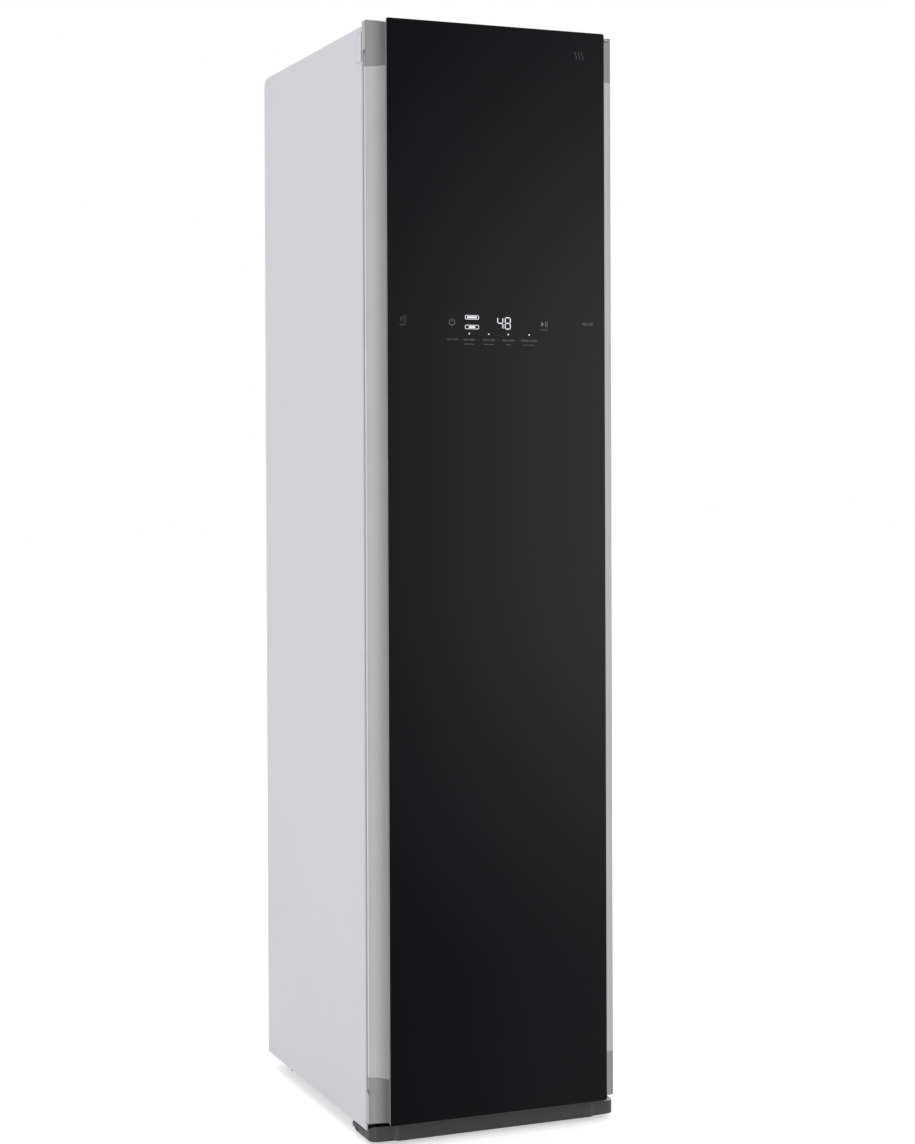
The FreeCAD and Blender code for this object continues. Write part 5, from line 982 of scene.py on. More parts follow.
def flat_mark(outline):
    return front_plate(scaled(outline), PRINT_FACE, PRINT_BACK)


def centred_rectangle(x, z, width, height, radius, steps):
    return rounded_rectangle(x - width / 2, x + width / 2, z - height / 2, z + height / 2, radius, steps)


def bar_mark(x, z, width, height):
    return flat_mark(centred_rectangle(x, z, width, height, min(width, height) * 0.45, 4))


def word_mark(x, z, widths, height, gap=1.1):
    """A row of short dashes that stands for a caption without spelling one."""
    left = x - (sum(widths) + gap * (len(widths) - 1)) / 2
    marks = []
    for width in widths:
        marks.append(bar_mark(left + width / 2, z, width, height))
        left += width + gap
    return joined(*marks)


def pill_mark(x, z, fill):
    """Rounded frame with a bar of the given length inside."""
    outer = centred_rectangle(x, z, PILL_WIDTH, PILL_HEIGHT, 2.0, 5)
    inner = centred_rectangle(x, z, PILL_WIDTH - 2 * PILL_LINE, PILL_HEIGHT - 2 * PILL_LINE, 1.2, 5)
    frame_line = rim(front_loft, scaled(outer), scaled(inner), PRINT_FACE, PRINT_BACK)
    return joined(frame_line, bar_mark(x, z, fill, 3.0))


def arc_mark(x, z, radius, start, end, width):
    outer = arc_points(x, z, radius + width / 2, start, end, 28)
    inner = arc_points(x, z, radius - width / 2, end, start, 28)
    return flat_mark(outer + inner)


def power_mark(x, z):
    return joined(arc_mark(x, z, 4.9, 125, 415, 1.1), bar_mark(x, z + 4.0, 1.1, 6.2))


def play_pause_mark(x, z):
    triangle = flat_mark([(x - 5.2, z - 4.6), (x + 0.6, z), (x - 5.2, z + 4.6)])
    return joined(triangle, bar_mark(x + 2.8, z, 1.3, 9.2), bar_mark(x + 5.6, z, 1.3, 9.2))


def tag_mark(x, z):
    """Upright bar with three waves beside it and a line under them."""
    waves = [arc_mark(x - 3, z + 2, radius, -48, 48, 1.0) for radius in (3.2, 6.0, 8.8)]
    return joined(bar_mark(x - 3.6, z + 2, 1.4, 7.5), bar_mark(x, z - 8.0, 11.0, 1.8), *waves)


def steam_mark(x, z, half_height=7.0, sway=1.6, line=1.4, steps=12):
    """Three rising wisps, a plain sign for steam."""
    marks = []
    for shift in (-6.0, 0.0, 6.0):
        left = [(x + shift + sway * math.sin(2 * math.pi * t / steps) - line / 2,
                 z - half_height + 2 * half_height * t / steps) for t in range(steps + 1)]
        right = [(px + line, pz) for px, pz in reversed(left)]
        marks.append(flat_mark(left + right))
    return joined(*marks)


def segment_digit(x, z, lit):
    """Seven-segment digit made from the named segments."""
    w, h = DIGIT_HALF_WIDTH, DIGIT_HALF_HEIGHT
    places = {}
    for name, up in (("top", h), ("middle", 0.0), ("bottom", -h)):
        places[name] = (x, z + up, 2 * w - 1.6, SEGMENT)
    for name, out, up in (("top_left", -w, h / 2), ("top_right", w, h / 2),
                          ("low_left", -w, -h / 2), ("low_right", w, -h / 2)):
        places[name] = (x + out, z + up, SEGMENT, h - 1.4)
    return joined(*[bar_mark(*places[name]) for name in lit])


def build_touch_symbols():
    four = segment_digit(DIGIT_X[0], DISPLAY_Z, ("top_left", "top_right", "middle", "low_right"))
    eight = segment_digit(DIGIT_X[1], DISPLAY_Z, ("top", "middle", "bottom", "top_left", "top_right",
                                                  "low_left", "low_right"))
    lamps = [flat_mark(arc_points(x, LAMP_Z, LAMP_RADIUS, 0, 345, 23)) for x in LAMP_X]
    pills = [pill_mark(PILL_X, z, fill) for z, fill in PILLS]
    captions = [word_mark(*caption) for caption in CAPTIONS]
    bright = (*pills, four, eight, *lamps)
    soft = (power_mark(POWER_X, DISPLAY_Z), play_pause_mark(PLAY_X, DISPLAY_Z))
    dim = (*captions, tag_mark(*TAG_PLACE), steam_mark(*STEAM_PLACE))
    for name, marks, material in (("lit_symbols", bright, "bright_print"),
                                  ("soft_symbols", soft, "soft_print"),
                                  ("dim_symbols", dim, "dim_print")):
        piece_from(name, joined(*marks), material, "door")


# ---------------------------------------------------------------- chamber

CHAMBER_X = 190.0 * MM
CHAMBER_REAR = FLOOR_HIGH.y + 2.0 * MM
CHAMBER_FOOT = FLOOR_LOW.z - 0.2 * MM
CHAMBER_HEAD = 1700.0 * MM
LINER_WALL = 2.0 * MM
LINER_RADIUS = 26.0 * MM
LINER_LAP = 0.2 * MM
MOUTH_RADIUS = 2.0 * MM
RIB_COUNT = 6
RIB_PITCH, RIB_FIRST, RIB_HALF, RIB_DEPTH = mm(68.0, -170.0, 10.0, 1.5)
ARM_X = 110.0 * MM
ARM_SLOT_HALF = 23.0 * MM
ARM_SLOT_Y = mm(2.0, 18.0)
WELL_DEPTH, WELL_RADIUS, WELL_GAP = mm(5.0, 3.0, 0.5)
VENT_ROWS = 8
VENT_HALF, VENT_FIRST, VENT_PITCH, VENT_DEPTH = mm(150.0, 60.0, 16.0, 5.2)
GROOVE_X = 175.0 * MM
GROOVE_ENDS = mm(-220.0, 200.0)
GROOVE_HALF, GROOVE_DEPTH = mm(2.0, 1.5)
NOZZLE_HOLE, NOZZLE_NECK, NOZZLE_SHANK = mm(20.2, 13.9, 19.9)
NOZZLE_SKIRT = 0.2 * MM
BRIM_RISE, BRIM_TOP, BRIM_CHAMFER = mm(2.6, 3.8, 1.2)
DOME_INSET, DOME_BASE, DOME_HEIGHT = mm(2.4, 3.9, 7.9)
DOME_SLOTS = 12
DOME_SLOT_X = mm(9.0, 30.0)
DOME_SLOT_HALF = 1.3 * MM
DOME_SLOT_RISE = mm(5.5, 14.0)
FILTER_WINDOWS = 12
FILTER_RAIL, FILTER_FRONT, FILTER_REAR, SLAT_HALF = mm(5.5, 8.0, 20.0, 1.0)
FILTER_RADIUS, FILTER_PROUD, FILTER_BED, WINDOW_RADIUS = mm(4.0, 3.0, 2.0, 3.0)
GRIP_HALF, GRIP_FRONT, GRIP_REAR = mm(18.0, 12.0, 8.0)
WIRE_COUNT = 44
WIRE, WIRE_RISE, WIRE_MARGIN = mm(0.5, 2.6, 6.0)
AROMA_SLOTS = 5
AROMA_FIRST, AROMA_PITCH, AROMA_MARGIN, AROMA_DEPTH = mm(9.5, 10.0, 9.0, 3.5)
AROMA_RADIUS, AROMA_SLOT_HALF = mm(5.0, 1.6)
DUCT_ROWS = 6
DUCT_TOP, DUCT_PITCH, DUCT_SLOT_HALF, DUCT_SLOT_DEPTH = mm(110.0, 16.0, 120.0, 5.0)
DUCT_GROOVE_X, DUCT_GROOVE_HALF, DUCT_GROOVE_MARGIN, DUCT_GROOVE_DEPTH = mm(128.0, 1.5, 30.0, 1.5)
DUCT_RADIUS = 14.0 * MM
LENS_RADIUS = 6.0 * MM


def rib(y):
    """How far the wall's upright ribs stand into the chamber at depth y."""
    return RIB_DEPTH * max(smooth(1 - abs(y - RIB_FIRST - RIB_PITCH * i) / RIB_HALF)
                           for i in range(RIB_COUNT))


def lining_line(grow, steps=150):
    """Plan line of the chamber wall from the right front edge round to the left one."""
    half, rear, radius = CHAMBER_X + grow, CHAMBER_REAR + grow, LINER_RADIUS + grow
    front = LINER_LOW.y + LINER_WALL / 2
    places = [front + (rear - radius - front) * i / steps for i in range(steps)]
    right = [(half - rib(y), y) for y in places]
    right += arc_points(half - radius, rear - radius, radius, 0, 90, 12)
    return right + [(-x, y) for x, y in reversed(right)]


def chamber_shell():
    """Ribbed walls, floor, ceiling with slots for the hanger arms, and the doorway flange."""
    inner, outer = lining_line(0.0), lining_line(LINER_WALL)
    foot, head = CHAMBER_FOOT - LINER_WALL, CHAMBER_HEAD + LINER_WALL
    walls = ribbon(outer, inner, [foot] * len(outer), [head] * len(outer))
    floor = plan_prism(lining_line(LINER_LAP), foot, CHAMBER_FOOT)
    slots = [block(x - ARM_SLOT_HALF, x + ARM_SLOT_HALF, *ARM_SLOT_Y,
                   CHAMBER_HEAD - OVERCUT, head + OVERCUT)
             for x in (-ARM_X, ARM_X)]
    ceiling = carve(plan_prism(lining_line(LINER_LAP), CHAMBER_HEAD, head), *slots)
    edge = front_outline(LINER_LOW, LINER_HIGH, MOUTH_RADIUS)
    mouth = rounded_rectangle(-CHAMBER_X, CHAMBER_X, CHAMBER_FOOT, CHAMBER_HEAD, MOUTH_RADIUS)
    return joined(walls, floor, ceiling,
                  rim(front_loft, edge, mouth, LINER_LOW.y, LINER_LOW.y + LINER_WALL))


def floor_tray():
    """Moulded tray: rounded rear corners, wells for filter and aroma kit, return-air slots."""
    low, high = FLOOR_LOW, FLOOR_HIGH
    above = high.z + OVERCUT
    radius = LINER_RADIUS - LINER_WALL
    outline = [(low.x, low.y), (high.x, low.y)]
    outline += arc_points(high.x - radius, high.y - radius, radius, 0, 90, 10)
    outline += arc_points(low.x + radius, high.y - radius, radius, 90, 180, 10)
    cutters = [plan_prism(plan_outline(*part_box(node), WELL_RADIUS, -WELL_GAP), high.z - WELL_DEPTH,
                          above) for node in ("lint_filter", "aroma_kit")]
    below = low.z - OVERCUT
    hole = [(0, below), (NOZZLE_HOLE, below), (NOZZLE_HOLE, above), (0, above)]
    cutters.append(lathe(hole, (*middle_of("steam_nozzle"), 0)))
    for row in range(VENT_ROWS):
        slot = long_slot(-VENT_HALF, VENT_HALF, VENT_FIRST + VENT_PITCH * row)
        cutters.append(plan_prism(slot, high.z - VENT_DEPTH, above))
    for x in (-GROOVE_X, GROOVE_X):
        groove = rounded_rectangle(x - GROOVE_HALF, x + GROOVE_HALF, *GROOVE_ENDS, GROOVE_HALF - HAIR, 5)
        cutters.append(plan_prism(groove, high.z - GROOVE_DEPTH, above))
    return carve(plan_prism(outline, low.z, high.z), *cutters)


def nozzle_dome():
    """Turned outlet: neck, brim and a rounded dome with slots round it."""
    low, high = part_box("steam_nozzle")
    place = (*middle_of("steam_nozzle"), 0)
    brim = (high.x - low.x) / 2
    seat = FLOOR_HIGH.z + HAIR
    dome = brim - DOME_INSET
    profile = [(0, low.z), (NOZZLE_NECK, low.z), (NOZZLE_NECK, FLOOR_LOW.z),
               (NOZZLE_SHANK, FLOOR_LOW.z + NOZZLE_SKIRT), (NOZZLE_SHANK, seat), (brim, seat),
               (brim, seat + BRIM_RISE), (brim - BRIM_CHAMFER, seat + BRIM_TOP)]
    profile += [(dome * math.cos(a), seat + DOME_BASE + DOME_HEIGHT * math.sin(a))
                for a in (math.radians(90.0 * i / 8) for i in range(9))]
    cutters = []
    for i in range(DOME_SLOTS):
        points, faces = block(*DOME_SLOT_X, -DOME_SLOT_HALF, DOME_SLOT_HALF,
                              *(seat + rise for rise in DOME_SLOT_RISE))
        turn = Matrix.Translation(place) @ Matrix.Rotation(2 * math.pi * i / DOME_SLOTS, 4, "Z")
        cutters.append(([turn @ p for p in points], faces))
    return carve(lathe(profile, place, steps=64), *cutters)


def filter_frame():
    """Lift-out frame with slats and a finger tab."""
    low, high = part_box("lint_filter")
    top = FLOOR_HIGH.z + FILTER_PROUD
    pitch = (high.x - low.x - 2 * FILTER_RAIL) / FILTER_WINDOWS
    windows = []
    for i in range(FILTER_WINDOWS):
        x = low.x + FILTER_RAIL + pitch * i
        window = rounded_rectangle(x + SLAT_HALF, x + pitch - SLAT_HALF, low.y + FILTER_FRONT,
                                   high.y - FILTER_REAR, WINDOW_RADIUS, 5)
        windows.append(plan_prism(window, low.z + FILTER_BED, top + OVERCUT))
    middle = (low.x + high.x) / 2
    tab = rounded_rectangle(middle - GRIP_HALF, middle + GRIP_HALF, top - OVERCUT, high.z, FILTER_RADIUS)
    frame_form = plan_prism(plan_outline(low, high, FILTER_RADIUS), low.z, top)
    return joined(carve(frame_form, *windows), front_plate(tab, high.y - GRIP_FRONT, high.y - GRIP_REAR))


def filter_screen():
    """Fine wires seen in the filter's windows."""
    low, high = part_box("lint_filter")
    z = low.z + WIRE_RISE
    first, last = low.y + FILTER_FRONT, high.y - FILTER_REAR
    places = [first + (last - first) * i / (WIRE_COUNT - 1) for i in range(WIRE_COUNT)]
    return joined(*[block(low.x + WIRE_MARGIN, high.x - WIRE_MARGIN, y - WIRE / 2, y + WIRE / 2, z,
                          z + WIRE) for y in places])


def aroma_case():
    low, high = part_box("aroma_kit")
    slots = []
    for i in range(AROMA_SLOTS):
        x = low.x + AROMA_FIRST + AROMA_PITCH * i
        slot = rounded_rectangle(x - AROMA_SLOT_HALF, x + AROMA_SLOT_HALF, low.y + AROMA_MARGIN,
                                 high.y - AROMA_MARGIN, AROMA_SLOT_HALF - HAIR, 5)
        slots.append(plan_prism(slot, high.z - AROMA_DEPTH, high.z + OVERCUT))
    return carve(plan_prism(plan_outline(low, high, AROMA_RADIUS), low.z, high.z), *slots)


def duct_panel():
    """Long shallow cover with outlet slots near its head and a lengthwise groove on each side."""
    low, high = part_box("rear_duct_cover")
    ahead = low.y - OVERCUT
    cutters = []
    for row in range(DUCT_ROWS):
        slot = long_slot(-DUCT_SLOT_HALF, DUCT_SLOT_HALF, high.z - DUCT_TOP + DUCT_PITCH * row)
        cutters.append(front_plate(slot, ahead, low.y + DUCT_SLOT_DEPTH))
    for x in (-DUCT_GROOVE_X, DUCT_GROOVE_X):
        groove = rounded_rectangle(x - DUCT_GROOVE_HALF, x + DUCT_GROOVE_HALF,
                                   low.z + DUCT_GROOVE_MARGIN, high.z - DUCT_GROOVE_MARGIN,
                                   DUCT_GROOVE_HALF - HAIR, 5)
        cutters.append(front_plate(groove, ahead, low.y + DUCT_GROOVE_DEPTH))
    return carve(front_plate(front_outline(low, high, DUCT_RADIUS), low.y, high.y), *cutters)


def lamp_lens():
    low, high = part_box("led_lamp")
    return plan_prism(plan_outline(low, high, LENS_RADIUS), low.z, high.z)


def build_chamber():
    for name, form, material, body, node, edges in (
            ("chamber_shell", chamber_shell(), "liner_plastic", "cabinet", "chamber_liner", (0.6, 2, 50)),
            ("chamber_tray", floor_tray(), "floor_plastic", "cabinet", "chamber_floor", (0.7, 3, 40)),
            ("steam_outlet_dome", nozzle_dome(), "floor_plastic", "cabinet", "steam_nozzle", (0.3, 2, 50)),
            ("filter_slats", filter_frame(), "filter_plastic", "lint_filter", "lint_filter", (0.5,)),
            ("filter_screen_wires", filter_screen(), "bright_steel", "lint_filter", None, None),
            ("aroma_case", aroma_case(), "filter_plastic", "aroma_kit", "aroma_kit", (1.0, 3)),
            ("rear_duct_panel", duct_panel(), "liner_plastic", "cabinet", "rear_duct_cover", (1.2, 3)),
            ("lamp_diffuser", lamp_lens(), "lamp_lens", "cabinet", "led_lamp", (1.8, 3))):
        piece_from(name, form, material, body, node, edges=edges)


# ---------------------------------------------------------------- garment hangers

BAR_Z = 1640.0 * MM
HOOK_GAP = 39.6 * MM
HOOK_REACH = 9.6 * MM
HOOK_WIRE = 2.5 * MM
HOOK_BALL = 3.3 * MM
HOOK_STEPS = mm(12.0, 6.0)
HOOK_FOOT = 4.0 * MM
COLLAR = [(0.0, 0.0), (6.0, 0.0), (5.0, 12.0), (3.6, 15.0), (0.0, 15.0)]
SHOULDER_SPAN, SHOULDER_DROP = mm(190.0, 62.0)
SHOULDER_WIDE, SHOULDER_WIDEN = mm(7.5, 10.5)
SHOULDER_DEEP, SHOULDER_THIN = mm(10.5, 4.0)
SHOULDER_BELOW_CROWN = 9.0 * MM
TIP_START = 0.93
RAIL_REACH, RAIL_BEND, RAIL_RISE, RAIL_RADIUS = mm(150.0, 16.0, 42.0, 3.2)
RAIL_DROP = 30.0 * MM


def squared(value):
    """Pushes a cosine or sine outwards, so that a ring made of them is squarer than a circle."""
    return math.copysign(abs(value) ** 0.8, value)


def hanger_shoulders(x, middle_y, crown, steps=56, corners=20):
    """Broad moulded arm: an arc whose section widens and flattens towards its ends."""
    radius = (SHOULDER_SPAN ** 2 + SHOULDER_DROP ** 2) / (2 * SHOULDER_DROP)
    rings = []
    for i in range(steps + 1):
        t = -1 + 2 * i / steps
        y = SHOULDER_SPAN * t
        past = max(0.0, (abs(t) - TIP_START) / (1 - TIP_START))
        tip = max(0.05, math.sqrt(max(0.0, 1 - past ** 2)))
        wide = (SHOULDER_WIDE + SHOULDER_WIDEN * abs(t) ** 1.4) * tip
        deep = (SHOULDER_DEEP - SHOULDER_THIN * abs(t)) * tip
        centre = Vector((x, middle_y + y, crown - sagitta(radius, y) - SHOULDER_BELOW_CROWN))
        lean = math.asin(y / radius)
        ring = []
        for k in range(corners):
            angle = 2 * math.pi * k / corners
            over = deep * squared(math.sin(angle))
            ring.append(centre + Vector((wide * squared(math.cos(angle)), over * math.sin(lean),
                                         over * math.cos(lean))))
        rings.append(ring)
    return loft(rings)


def hanger_hook(x, bar_y, foot_z):
    """Bent wire from the shoulders up and round the bar, ending in a ball."""
    bend_z = BAR_Z - HOOK_REACH
    path = [(x, bar_y, foot_z)] + [(x, bar_y, bend_z - step) for step in HOOK_STEPS]
    path += [(x, y, z) for y, z in arc_points(bar_y, BAR_Z, HOOK_REACH, -82, 198, 28)]
    ball = [(HOOK_BALL * math.sin(a), -HOOK_BALL * math.cos(a))
            for a in (math.radians(15 * i) for i in range(13))]
    return joined(tube(path, HOOK_WIRE), lathe(ball, path[-1], steps=20))


def trouser_rail(x, middle_y, z):
    """Round rail under the shoulders with its two bent ends."""
    side = [(-RAIL_REACH, z + RAIL_RISE), (-RAIL_REACH, z + RAIL_BEND)]
    side += arc_points(RAIL_BEND - RAIL_REACH, z + RAIL_BEND, RAIL_BEND, 195, 270, 5)
    side += [(-y, height) for y, height in reversed(side)]
    return tube([(x, middle_y + y, height) for y, height in side], RAIL_RADIUS)


def build_garment_hangers():
    bar_y = middle_of("hanger_bar")[1]
    crown = BAR_Z - HOOK_GAP
    foot_z = crown - HOOK_FOOT
    for word in ("left", "right"):
        node = word + "_garment_hanger"
        x = middle_of(node)[0]
        collar = lathe([(r, foot_z + h) for r, h in scaled(COLLAR)], (x, bar_y, 0), steps=28)
        arm = joined(hanger_shoulders(x, bar_y, crown), collar,
                     trouser_rail(x, bar_y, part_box(node)[0].z - RAIL_DROP))
        shade_smooth(piece_from(word + "_hanger_shoulders", arm, "hanger_plastic", node, node))
        shade_smooth(piece_from(word + "_hanger_hook", hanger_hook(x, bar_y, foot_z), "bright_steel",
                                node))


# ---------------------------------------------------------------- tanks

TANK_RADIUS = 14.0 * MM
BAND_DEPTH, BAND_HEIGHT = mm(1.6, 3.0)
BAND_FROM_FOOT, BAND_FROM_HEAD = mm(38.0, 84.0)
SCOOP_MARGIN, SCOOP_FOOT, SCOOP_HEAD, SCOOP_RADIUS, SCOOP_DEPTH = mm(45.0, 70.0, 34.0, 9.0, 22.0)
LID_SEAT = 16.0 * MM
LID_PLUG = 29.5 * MM
KNURL_COUNT = 24
KNURL_DEPTH = 0.7 * MM
# height above the seat and distance in from the brim, in mm, and whether the rim is knurled there
LID_STEPS = ((0.0, 0.0, True), (4.8, 0.0, True), (7.0, 2.4, False), (7.0, 8.0, False), (5.6, 9.5, False))
LID_CENTRE = 2.0 * MM
LID_GRIP_LENGTH, LID_GRIP_WIDTH, LID_GRIP_RADIUS, LID_GRIP_FOOT = mm(25.0, 3.4, 3.0, 5.0)


def tank_shell(node):
    """Blow-moulded tank: deep rounded edges, a finger scoop and two body grooves."""
    low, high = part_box(node)
    scoop = rounded_rectangle(low.x + SCOOP_MARGIN, high.x - SCOOP_MARGIN, high.z - SCOOP_FOOT,
                              high.z - SCOOP_HEAD, SCOOP_RADIUS)
    cutters = [front_plate(scoop, low.y - OVERCUT, low.y + SCOOP_DEPTH)]
    outer = plan_outline(low, high, TANK_RADIUS + OVERCUT, -OVERCUT)
    inner = plan_outline(low, high, TANK_RADIUS - BAND_DEPTH, BAND_DEPTH)
    for z in (low.z + BAND_FROM_FOOT, high.z - BAND_FROM_HEAD):
        cutters.append(rim(plan_loft, outer, inner, z, z + BAND_HEIGHT))
    return carve(plan_prism(plan_outline(low, high, TANK_RADIUS), low.z, high.z), *cutters)


def tank_lid(node):
    """Screw cap with a knurled rim and a raised grip bar."""
    low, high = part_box(node)
    cx, cy = middle_of(node)
    brim = (high.x - low.x) / 2
    seat = high.z - LID_SEAT
    levels = [(seat + rise * MM, brim - inset * MM, knurled) for rise, inset, knurled in LID_STEPS]
    levels.append((levels[-1][0], LID_CENTRE, False))
    rings = []
    for z, radius, knurled in levels:
        ring = []
        for i in range(4 * KNURL_COUNT):
            angle = 2 * math.pi * i / (4 * KNURL_COUNT)
            reach = radius - (KNURL_DEPTH if knurled and i % 4 < 2 else 0.0)
            ring.append(Vector((cx + reach * math.cos(angle), cy + reach * math.sin(angle), z)))
        rings.append(ring)
    plug = lathe([(0, low.z), (LID_PLUG, low.z), (LID_PLUG, seat), (0, seat)], (cx, cy, 0))
    grip = rounded_rectangle(cx - LID_GRIP_LENGTH, cx + LID_GRIP_LENGTH, cy - LID_GRIP_WIDTH,
                             cy + LID_GRIP_WIDTH, LID_GRIP_RADIUS)
    return joined(loft(rings), plug, plan_prism(grip, seat + LID_GRIP_FOOT, high.z))


def build_tanks():
    for node in ("water_tank", "drain_tank"):
        cap = node + "_cap"
        piece_from(node + "_shell", tank_shell(node), "tank_plastic", node, node, edges=(1.3, 3, 40))
        piece_from(node + "_lid", tank_lid(cap), "cap_plastic", node, cap, edges=(0.3, 2, 45))
    dress("tank_bay", "bay_plastic", 0.8)


# ---------------------------------------------------------------- door inside

GASKET_RADIUS = 14.0 * MM
GASKET_FOLDS = ((0.0, 0.0), (0.0, 2.9), (2.2, 5.4), (0.6, 8.4), (2.0, 10.9), (0.2, 13.4), (0.8, 16.0),
                (3.0, 16.8), (9.0, 16.8), (11.2, 16.0), (11.8, 13.4), (10.0, 10.9), (11.4, 8.4),
                (9.8, 5.4), (12.0, 2.9), (12.0, 0.0))
LINER_BAND_RADIUS = 26.0 * MM
LINER_BAND_INSET = Vector((8.0 * MM, 0.0, 12.0 * MM))
LINER_BAND_SUNK = 0.02 * MM
LINER_BAND = ((8.0, 0.0), (9.5, 2.2), (11.5, 3.0), (17.5, 3.0), (19.5, 2.2), (21.0, 0.0))
COVER_HALF = 148.0 * MM
COVER_FRONT = -246.0 * MM
COVER_RADIUS = 10.0 * MM
COVER_VENT_ROWS = 14
COVER_VENT_FIRST, COVER_VENT_PITCH = mm(56.0, 48.0)
COVER_VENT_X = mm(-110.0, 20.0)
COVER_VENT_LENGTH, COVER_VENT_WIDTH = mm(90.0, 8.0)
COVER_GROOVE_INSET, COVER_GROOVE_WIDTH, COVER_GROOVE_DEPTH, COVER_GROOVE_RADIUS = mm(12.0, 2.0, 0.9, 6.0)
KNUCKLE_BORE, KNUCKLE_RADIUS, KNUCKLE_TALL = mm(3.1, 6.0, 18.0)
KNUCKLE_MARGINS = mm(22.0, 40.0)
WEB_START, WEB_DEPTH, WEB_MARGIN = mm(4.5, 5.0, 0.5)
LUG = 8.0 * MM
LUG_MARGINS = mm(1.5, 6.5)
PAD_HALF = 139.0 * MM
PAD_FACE = -252.4 * MM
PAD_FOOT, PAD_HEAD = mm(531.0, 1269.0)
PAD_SWELL, PAD_SEAM, PAD_RIM = mm(3.6, 1.1, 0.02)
PAD_DIAMOND = 38.0 * MM
PAD_ACROSS, PAD_UP = 56, 150
STITCH = 0.10
CLAMP_RAIL = 5.0 * MM
CLAMP_DROP = 6.0 * MM
JAW_HALF, JAW_DROP, JAW_THICKNESS, JAW_RADIUS = mm(118.0, 36.0, 3.6, 6.0)
JAW_LINKS = mm(-113.0, -40.0, 40.0, 113.0)
JAW_SLOTS = mm(-75.0, 0.0, 75.0)
JAW_SLOT_HALF, JAW_SLOT_DROP, JAW_SLOT_WIDTH, JAW_SLOT_DEPTH = mm(30.0, 22.0, 8.0, 5.0)
LINK_HALF, LINK_LAP = mm(4.0, 3.0)


def press_cover_slab(low, high):
    """The pressing panel itself, with two columns of vents and a shadow groove."""
    front, back = COVER_FRONT, high.y
    low, high = Vector((-COVER_HALF, 0, low.z)), Vector((COVER_HALF, 0, high.z))
    cutters = []
    for row in range(COVER_VENT_ROWS):
        z = low.z + COVER_VENT_FIRST + COVER_VENT_PITCH * row
        for x in COVER_VENT_X:
            vent = long_slot(x, x + COVER_VENT_LENGTH, z, COVER_VENT_WIDTH)
            cutters.append(front_plate(vent, front - OVERCUT, back + OVERCUT))
    edge = front_outline(low, high, COVER_GROOVE_RADIUS, COVER_GROOVE_INSET)
    core = front_outline(low, high, COVER_GROOVE_RADIUS - COVER_GROOVE_WIDTH,
                         COVER_GROOVE_INSET + COVER_GROOVE_WIDTH)
    cutters.append(rim(front_loft, edge, core, back - COVER_GROOVE_DEPTH, back + OVERCUT))
    return carve(front_plate(front_outline(low, high, COVER_RADIUS), front, back), *cutters)


def press_cover_panel():
    """Pressing panel with its hinge knuckles and latch lugs."""
    low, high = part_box("press_cover")
    pin_low, pin_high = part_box("press_hinge_pins")
    latch_low, latch_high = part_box("press_latch")
    px, py = middle_of("press_hinge_pins")
    parts = [press_cover_slab(low, high)]
    for z in (pin_low.z + KNUCKLE_MARGINS[0], pin_high.z - KNUCKLE_MARGINS[1]):
        ring = [(KNUCKLE_BORE, z), (KNUCKLE_RADIUS, z), (KNUCKLE_RADIUS, z + KNUCKLE_TALL),
                (KNUCKLE_BORE, z + KNUCKLE_TALL)]
        parts.append(lathe(ring, (px, py, 0), steps=32))
        parts.append(block(px + WEB_START, LUG - COVER_HALF, COVER_FRONT, COVER_FRONT + WEB_DEPTH,
                           z + WEB_MARGIN, z + KNUCKLE_TALL - WEB_MARGIN))
    for z in (latch_low.z - LUG_MARGINS[0], latch_high.z - LUG_MARGINS[1]):
        parts.append(block(COVER_HALF - LUG, high.x, COVER_FRONT, high.y, z, z + LUG))
    return joined(*parts)


def pad_rise(x, z, u, v):
    """How far the quilted pad stands out at a place; u and v run from -1 to 1 across and up."""
    swell = (1 - abs(u) ** 10) * (1 - abs(v) ** 26)
    turns = (x + z) / PAD_DIAMOND, (x - z) / PAD_DIAMOND
    stitch = min(abs(turn - round(turn)) for turn in turns)
    rise = PAD_SWELL * swell - PAD_SEAM * math.exp(-(stitch / STITCH) ** 2) * swell
    return max(PAD_RIM, rise)


def pressing_pad():
    """Quilted cloth pad on the backing plate: pillowed, with crossing rows of stitching."""
    across, up = PAD_ACROSS, PAD_UP
    middle_z, half_z = (PAD_FOOT + PAD_HEAD) / 2, (PAD_HEAD - PAD_FOOT) / 2
    points, faces = [], []
    for j in range(up + 1):
        for i in range(across + 1):
            u, v = -1 + 2 * i / across, -1 + 2 * j / up
            x, z = PAD_HALF * u, middle_z + half_z * v
            points.append(Vector((x, PAD_FACE + pad_rise(x, z, u, v), z)))
    row = across + 1
    for j in range(up):
        for i in range(across):
            k = j * row + i
            faces.append((k, k + 1, k + row + 1, k + row))
    edge = list(range(row))
    edge += [j * row + across for j in range(1, up + 1)]
    edge += [up * row + i for i in range(across - 1, -1, -1)]
    edge += [j * row for j in range(up - 1, 0, -1)]
    base, count = len(points), len(edge)
    points += [Vector((points[k].x, PAD_FACE, points[k].z)) for k in edge]
    for i in range(count):
        j = (i + 1) % count
        faces.append((edge[i], edge[j], base + j, base + i))
    faces.append(tuple(range(base, base + count)))
    return points, faces


